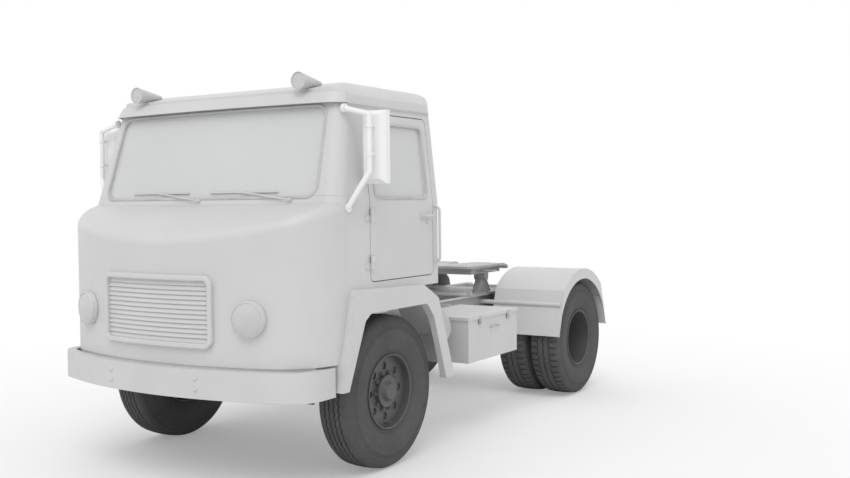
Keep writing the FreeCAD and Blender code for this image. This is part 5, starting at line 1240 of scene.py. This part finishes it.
def make_pad(name, middle_x, low, high, facing):
    """One pad between a low and a high (z, front, rear) edge, drawn in by a margin all round."""
    x0, x1 = middle_x - SEAT_HALF + PAD_SHRINK, middle_x + SEAT_HALF - PAD_SHRINK
    corners = []
    for (z, front, rear), lift in ((low, PAD_SHRINK * 0.6), (high, -PAD_SHRINK)):
        front, rear = front + PAD_SHRINK, rear - PAD_SHRINK
        corners += [at(x, y, z + lift) for x, y in ((x0, front), (x1, front), (x1, rear), (x0, rear))]
    pad = pad_mesh(name, corners)
    swell(pad)
    pull_channels(pad, middle_x, facing)
    for vert in pad.data.vertices:
        vert.co.z = min(max(vert.co.z, low[0]), high[0] + PAD_SLACK)
    smooth = pad.modifiers.new("smooth", "SUBSURF")
    smooth.levels = 1
    smooth.render_levels = 1
    apply_modifiers(pad)
    for polygon in pad.data.polygons:
        polygon.use_smooth = True
    pad.data.materials.append(looks["seat_fabric"].material)
    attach(pad, "chassis")
    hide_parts("seat_cushions")


def make_seats():
    for side, x in (("left", SEAT_X), ("right", -SEAT_X)):
        make_pad("seat_cushion_" + side, x, (SEAT_LOW_Z, SEAT_FRONT, SEAT_REAR),
                 (SEAT_HIGH_Z, SEAT_FRONT, SEAT_REAR), UP)
        make_pad("seat_back_" + side, x, (BACK_LOW_Z, BACK_LOW_FRONT, BACK_LOW_REAR),
                 (BACK_HIGH_Z, BACK_HIGH_FRONT, BACK_HIGH_REAR), Vector((0, -1, 0.25)).normalized())


def seat_runners(bm):
    """Side rails and a recline lever under the left seat."""
    for x in (SEAT_X - 0.185, SEAT_X + 0.185):
        block(bm, at(x - 0.012, SEAT_FRONT + 0.045, 1.5305), at(x + 0.012, SEAT_REAR - 0.01, 1.5448), 0.003)
    lever = [at(SEAT_X + out, y, z) for out, y, z in
             ((0.19, 0.10, 1.537), (0.236, 0.10, 1.537), (0.236, -0.02, 1.550))]
    rod(bm, soft_path(lever, 0.015), 0.006, 8)


def dash_hit(tree, x):
    """Place and direction on the sloping rear face of the dash."""
    return on_skin(tree, at(x, DASH_BEHIND, DASH_Z), -BACK)


def dash_places():
    """Centres, directions and radii of the instruments."""
    tree = skin_of("dashboard")
    return [(*dash_hit(tree, SEAT_X + offset), radius) for offset, radius in GAUGES]


def gauge_rims(bm):
    """Raised bezels of the instruments, the row of switches and two knobs."""
    for centre, axis, radius in dash_places():
        lathe(bm, [(0, radius), (0.006, radius), (0.008, radius * 0.96), (0.006, radius * 0.88),
                   (0.001, radius * 0.86)], centre, axis, 40, True)
    tree = skin_of("dashboard")
    for step in range(SWITCH_COUNT):
        spot = dash_hit(tree, SWITCH_X + SWITCH_PITCH * step)
        lathe(bm, [(0, 0.010), (0.010, 0.009), (0.014, 0.006)], *spot, 14)
    for x in KNOB_XS:
        lathe(bm, [(0, 0.014), (0.006, 0.013), (0.008, 0.010)], *dash_hit(tree, x), 16)


def gauge_faces(bm):
    for centre, axis, radius in dash_places():
        lathe(bm, [(0, radius * 0.88), (0.002, radius * 0.88)], centre, axis)


def gauge_marks(bm):
    """Tick marks and a needle on each instrument."""
    for centre, axis, radius in dash_places():
        turn = turn_to(axis)
        for tick in range(TICKS):
            angle = math.pi * (0.5 + 2 * TICK_SWEEP * (tick / (TICKS - 1) - 0.5))
            line = Vector((math.cos(angle), math.sin(angle), 0))
            beside = Vector((-line.y, line.x, 0)) * TICK_HALF
            inner = line * radius * (0.66 if tick % 2 else 0.60)
            outer = line * radius * 0.80
            rings = [[bm.verts.new(centre + turn @ (corner + UP * height)) for corner in
                      (inner - beside, outer - beside, outer + beside, inner + beside)]
                     for height in (TICK_HEIGHT * 0.6, TICK_HEIGHT)]
            capped(bm, rings)
        rod(bm, [centre + turn @ Vector((-reach, reach, 0.004)) for reach in (0, radius * 0.42)], 0.0011, 6)
        lathe(bm, [(0.002, radius * 0.1), (0.006, radius * 0.08)], centre, axis, 12)


def controls(bm):
    """Gear lever with its gaiter, hand brake and three pedals."""
    base = at(0.16, -0.10, TUNNEL_TOP_Z)
    lathe(bm, [(-0.001, 0.055), (0.010, 0.052), (0.018, 0.040), (0.026, 0.042), (0.034, 0.028),
               (0.042, 0.030), (0.050, 0.016), (0.060, 0.012)], base, UP)
    rod(bm, [base + Vector(reach) for reach in ((0, 0, 0.05), (0.02, -0.02, 0.18), (0.05, -0.05, 0.32))],
        0.007)
    lathe(bm, [(-0.02, 0.012), (-0.008, 0.021), (0.010, 0.025), (0.024, 0.020), (0.032, 0.008), (0.033, 0)],
          base + Vector((0.05, -0.05, 0.34)), Vector((0.16, -0.16, 1)), 24)
    brake = at(0.30, 0.05, TUNNEL_TOP_Z)
    rod(bm, [brake, brake + Vector((0, -0.06, 0.06)), brake + Vector((0, -0.18, 0.09))], 0.009)
    for x, wide in PEDALS:
        foot = at(x, -0.600, FLOOR_TOP_Z)
        rod(bm, [foot, foot + Vector((0, 0.04, 0.07)), foot + Vector((0, 0.06, 0.13))], 0.008, 8)
        middle = foot + Vector((0, 0.066, 0.14))
        half = Vector((wide / 2, 0.008, 0.045))
        block(bm, middle - half, middle + half, 0.004, 2, Matrix.Rotation(PEDAL_LEAN, 3, "X"))


def make_interior():
    make_seats()
    add_piece("seat_runners", both_sides(seat_runners), "floor_paint", "chassis_paint")
    add_piece("gauge_rims", gauge_rims, "black_plastic")
    add_piece("gauge_faces", gauge_faces, "black_plastic", "dial_face")
    add_piece("gauge_marks", gauge_marks, "black_plastic", "dial_white")
    add_piece("driver_controls", controls, "black_plastic")


# Chassis


def rail_rivets(bm):
    """Rivets through the left rail's web at each cross member, and along it."""
    for y in CROSS_YS:
        for z in CROSS_RIVET_ZS:
            rivet(bm, at(RAIL_WEB_X, y - RIVET_APART, z), OUT)
            rivet(bm, at(RAIL_WEB_X, y + RIVET_APART, z), OUT)
    for step in range(ROW_COUNT):
        rivet(bm, at(RAIL_WEB_X, ROW_START + step * ROW_PITCH, ROW_Z), OUT, 0.007)


def u_bolts(bm, middle_y, low, high, spread):
    """Two U-bolts over one spring, with their plate and nuts."""
    inner, outer = SPRING_X - BOLT_SPREAD, SPRING_X + BOLT_SPREAD
    for y in (middle_y - spread, middle_y + spread):
        for x in (inner, outer):
            foot, head = Vector((x, y, low)), Vector((x, y, high))
            rod(bm, [foot, head], BOLT_RADIUS)
            nut(bm, foot.lerp(head, 0.985), UP, 0.011, 0.014)
        bend = [Vector((x, y, z)) for x, z in
                ((inner, low), (inner, low - 0.012), (outer, low - 0.012), (outer, low))]
        rod(bm, soft_path(bend, BOLT_RADIUS), BOLT_RADIUS)
    half = Vector((0.060, spread + 0.018, 0.008))
    middle = Vector((SPRING_X, middle_y, high - 0.018))
    block(bm, middle - half, middle + half, 0.004)


def spring_fittings(bm):
    """U-bolts and eye pins of the left springs."""
    u_bolts(bm, FRONT_AXLE.y, 0.410, 0.640, 0.062)
    u_bolts(bm, REAR_AXLE.y, 0.455, 0.725, 0.088)
    for middle_y, reach, z in SPRING_EYES:
        for y in (middle_y - reach, middle_y + reach):
            for side in (-1, 1):
                nut(bm, Vector((SPRING_X + side * EYE_OUT, y, z)), OUT * side, 0.014, 0.016)


def bumper_bolts(bm):
    """Domed bolts in the bumper's face over its brackets."""
    tree = skin_of("front_bumper")
    for z in BUMPER_BOLT_ZS:
        rivet(bm, *on_skin(tree, *from_front(BUMPER_BOLT_X, z)), 0.014)


def bumper_strip(bm):
    """Strip that closes the slit between the bumper and the cab, round both corners."""
    angles = [STRIP_TURN * (step / 30 - 1) for step in range(61)]
    inward = [Vector((-math.sin(angle), math.cos(angle), 0)) for angle in angles]
    lines = [(STRIP_PIVOT - way * 2, way) for way in inward]
    hits, normals = traced(skin_of("cab_front_panel"), lines)
    outward = [Vector((normal.x, normal.y, 0)).normalized() for normal in normals]
    path = [Vector((hit.x, hit.y, STRIP_Z)) - flat * STRIP_INSET for hit, flat in zip(hits, outward)]
    sweep(bm, path, STRIP_SECTION, outward)


def box_latches(bm):
    """Two toggle latches and a pull on the battery box."""
    low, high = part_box("battery_box")
    x, z = high.x, high.z - 0.026
    for share in (0.22, 0.78):
        y = low.y + (high.y - low.y) * share
        block(bm, (x - 0.004, y - 0.020, z - 0.062), (x + 0.004, y + 0.020, z + 0.010), 0.003)
        block(bm, (x, y - 0.013, z - 0.052), (x + 0.011, y + 0.013, z - 0.006), 0.004)
    middle = (low.y + high.y) / 2
    grip = [Vector((x + out, middle + y, z - 0.10)) for out, y in
            ((-0.010, -0.06), (0.022, -0.055), (0.022, 0.055), (-0.010, 0.06))]
    rod(bm, soft_path(grip, 0.014), 0.007)


def tank_fittings(bm):
    """Knurled edge and domed top of the fuel cap, and strap bolts."""
    low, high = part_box("fuel_tank")
    cap = at(FUEL_CAP_X, TANK_FRONT + TANK_LENGTH * FUEL_CAP_SHARE, high.z)
    for angle in turns(CAP_KNURLS):
        lathe(bm, [(-0.026, 0.0035), (-0.004, 0.0035), (-0.002, 0.002)],
              cap + Vector((math.cos(angle), math.sin(angle), 0)) * 0.048, UP, 6)
    lathe(bm, [(-0.001, 0.040), (0.003, 0.038), (0.006, 0.020), (0.007, 0)], cap, UP, 40)
    for share in (0.2, 0.8):
        for z in (0.72, 0.80):
            nut(bm, at(low.x + 0.001, TANK_FRONT + TANK_LENGTH * share, z), -OUT, 0.008, 0.010)


def air_tank_fittings(bm):
    """Drain cock and straps of the air tank."""
    low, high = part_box("air_tank")
    y = (low.y + high.y) / 2
    middle_x = (AIR_TANK_INNER_X + high.x) / 2
    lathe(bm, [(0, 0.012), (0.012, 0.012), (0.012, 0.007), (0.028, 0.007)],
          Vector((middle_x, y, low.z + 0.001)), -UP, 12)
    for x in (middle_x - 0.16, middle_x + 0.14):
        lathe(bm, [(-0.018, 0.1445), (-0.018, 0.1495), (0.018, 0.1495), (0.018, 0.1445)],
              Vector((x, y, AIR_TANK_Z)), OUT, 64, True)


def coupling_bolts(bm):
    """Bolts of the fifth wheel's base."""
    low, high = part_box("fifth_wheel_base")
    for x in (-COUPLING_BOLT_X, COUPLING_BOLT_X):
        for share in (0.06, 0.22, 0.78, 0.94):
            nut(bm, Vector((x, low.y + (high.y - low.y) * share, low.z + 0.014)), UP, 0.012, 0.016)


def release_handle(bm):
    """Pull handle of the jaw, out to the left under the plate."""
    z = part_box("fifth_wheel_plate")[1].z - 0.055
    bar = [at(x, COUPLING_Y - 0.12 + y, z) for x, y in
           ((0.10, 0), (0.470, 0), (0.520, 0), (0.520, 0.09), (0.482, 0.09))]
    rod(bm, soft_path(bar, 0.014), 0.007)


def guard_beads(bm):
    """Rolled wire edge along the outer side of the left rear mudguard."""
    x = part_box("rear_mudguards")[1].x - BEAD_INSET
    rise = GUARD_CROWN - GUARD_KNEE_Z + TYRE_RADIUS
    bow = (GUARD_KNEE ** 2 + rise ** 2) / (2 * rise)
    reach = math.asin(GUARD_KNEE / bow)
    arch = [(-GUARD_LEG, GUARD_LEG_Z)]
    for step in range(25):
        angle = reach * (step / 12 - 1)
        arch.append((bow * math.sin(angle), TYRE_RADIUS + GUARD_CROWN - bow + bow * math.cos(angle)))
    arch.append((GUARD_LEG, GUARD_LEG_Z))
    rod(bm, [Vector((x, REAR_AXLE.y + y, z - BEAD_INSET)) for y, z in arch], BEAD_RADIUS, 8)


def make_chassis():
    add_piece("rail_rivets", both_sides(rail_rivets), "chassis_paint")
    add_piece("spring_fittings", both_sides(spring_fittings), "spring_steel")
    add_piece("bumper_bolts", both_sides(bumper_bolts))
    add_piece("bumper_strip", bumper_strip)
    add_piece("box_latches", box_latches, look="zinc_plate")
    add_piece("tank_fittings", tank_fittings, look="chassis_paint")
    add_piece("air_tank_fittings", air_tank_fittings, "chassis_paint")
    add_piece("coupling_bolts", coupling_bolts, "coupling_iron")
    add_piece("release_handle", release_handle, "coupling_iron", body="coupling_plate")
    add_piece("mudguard_beads", both_sides(guard_beads))


# Camera, light and floor


def make_camera():
    data = bpy.data.cameras.new("camera")
    data.sensor_width = SENSOR
    data.lens = FOCAL_PIXELS / PHOTO_WIDTH * SENSOR
    camera = bpy.data.objects.new("camera", data)
    scene.collection.objects.link(camera)
    turn = Matrix.Rotation(CAMERA_YAW, 4, "Z") @ Matrix.Rotation(math.pi / 2 - CAMERA_PITCH, 4, "X")
    camera.matrix_world = Matrix.Translation(CAMERA_PLACE) @ turn @ Matrix.Rotation(CAMERA_ROLL, 4, "Z")
    scene.camera = camera


def make_world():
    """Even pale light; what the camera, glass and gloss see behind the object is white."""
    scene.world = bpy.data.worlds.new("world")
    sky = Nodes(scene.world)
    path = sky.node("ShaderNodeLightPath")
    seen = sky.math("ADD", path.outputs["Is Camera Ray"], path.outputs["Is Glossy Ray"])
    seen = sky.math("ADD", seen, path.outputs["Is Transmission Ray"])
    background = sky.tree.nodes["Background"]
    sky.feed((1, 1, 1), background.inputs[0])
    sky.link(sky.mapped(seen, WORLD_LEVEL, 1, 0, 1), background.inputs[1])


def make_sun():
    """Soft light from high up on the camera's side."""
    sun = bpy.data.objects.new("key_light", bpy.data.lights.new("key_light", "SUN"))
    sun.data.energy = SUN_ENERGY
    sun.data.angle = SUN_ANGLE
    sun.rotation_euler = SUN_TURN
    scene.collection.objects.link(sun)


def make_floor():
    """Pale floor that keeps the shadow near the truck and runs out to white around it."""
    look = Look("floor")
    look.colour(look.ramp(look.noise(0.6, 3), [(0.3, grey(0.86)), (0.7, grey(0.88))]))
    look.set(Roughness=0.9, Specular_IOR_Level=0.1)
    reach = look.node("ShaderNodeVectorMath", operation="LENGTH")
    look.link(look.place, reach.inputs[0])
    fade = look.mapped(reach.outputs["Value"], 0.25, 1, FADE_FROM, FADE_TO)
    path = look.node("ShaderNodeLightPath")
    white = look.node("ShaderNodeEmission", {"Color": (1, 1, 1, 1), "Strength": 1})
    blend = look.node("ShaderNodeMixShader")
    look.link(look.math("MULTIPLY", fade, path.outputs["Is Camera Ray"]), blend.inputs[0])
    look.link(look.shader.outputs[0], blend.inputs[1])
    look.link(white.outputs[0], blend.inputs[2])
    look.link(blend.outputs[0], look.tree.nodes["Material Output"].inputs["Surface"])
    bpy.ops.mesh.primitive_plane_add(size=FLOOR_SIZE)
    floor = bpy.context.object
    floor.name = "floor"
    floor.data.materials.append(look.material)


make_camera()
make_world()
make_sun()
make_floor()
make_tyres()
make_wheels()
make_seals()
make_cab_trim()
make_front()
make_interior()
make_chassis()
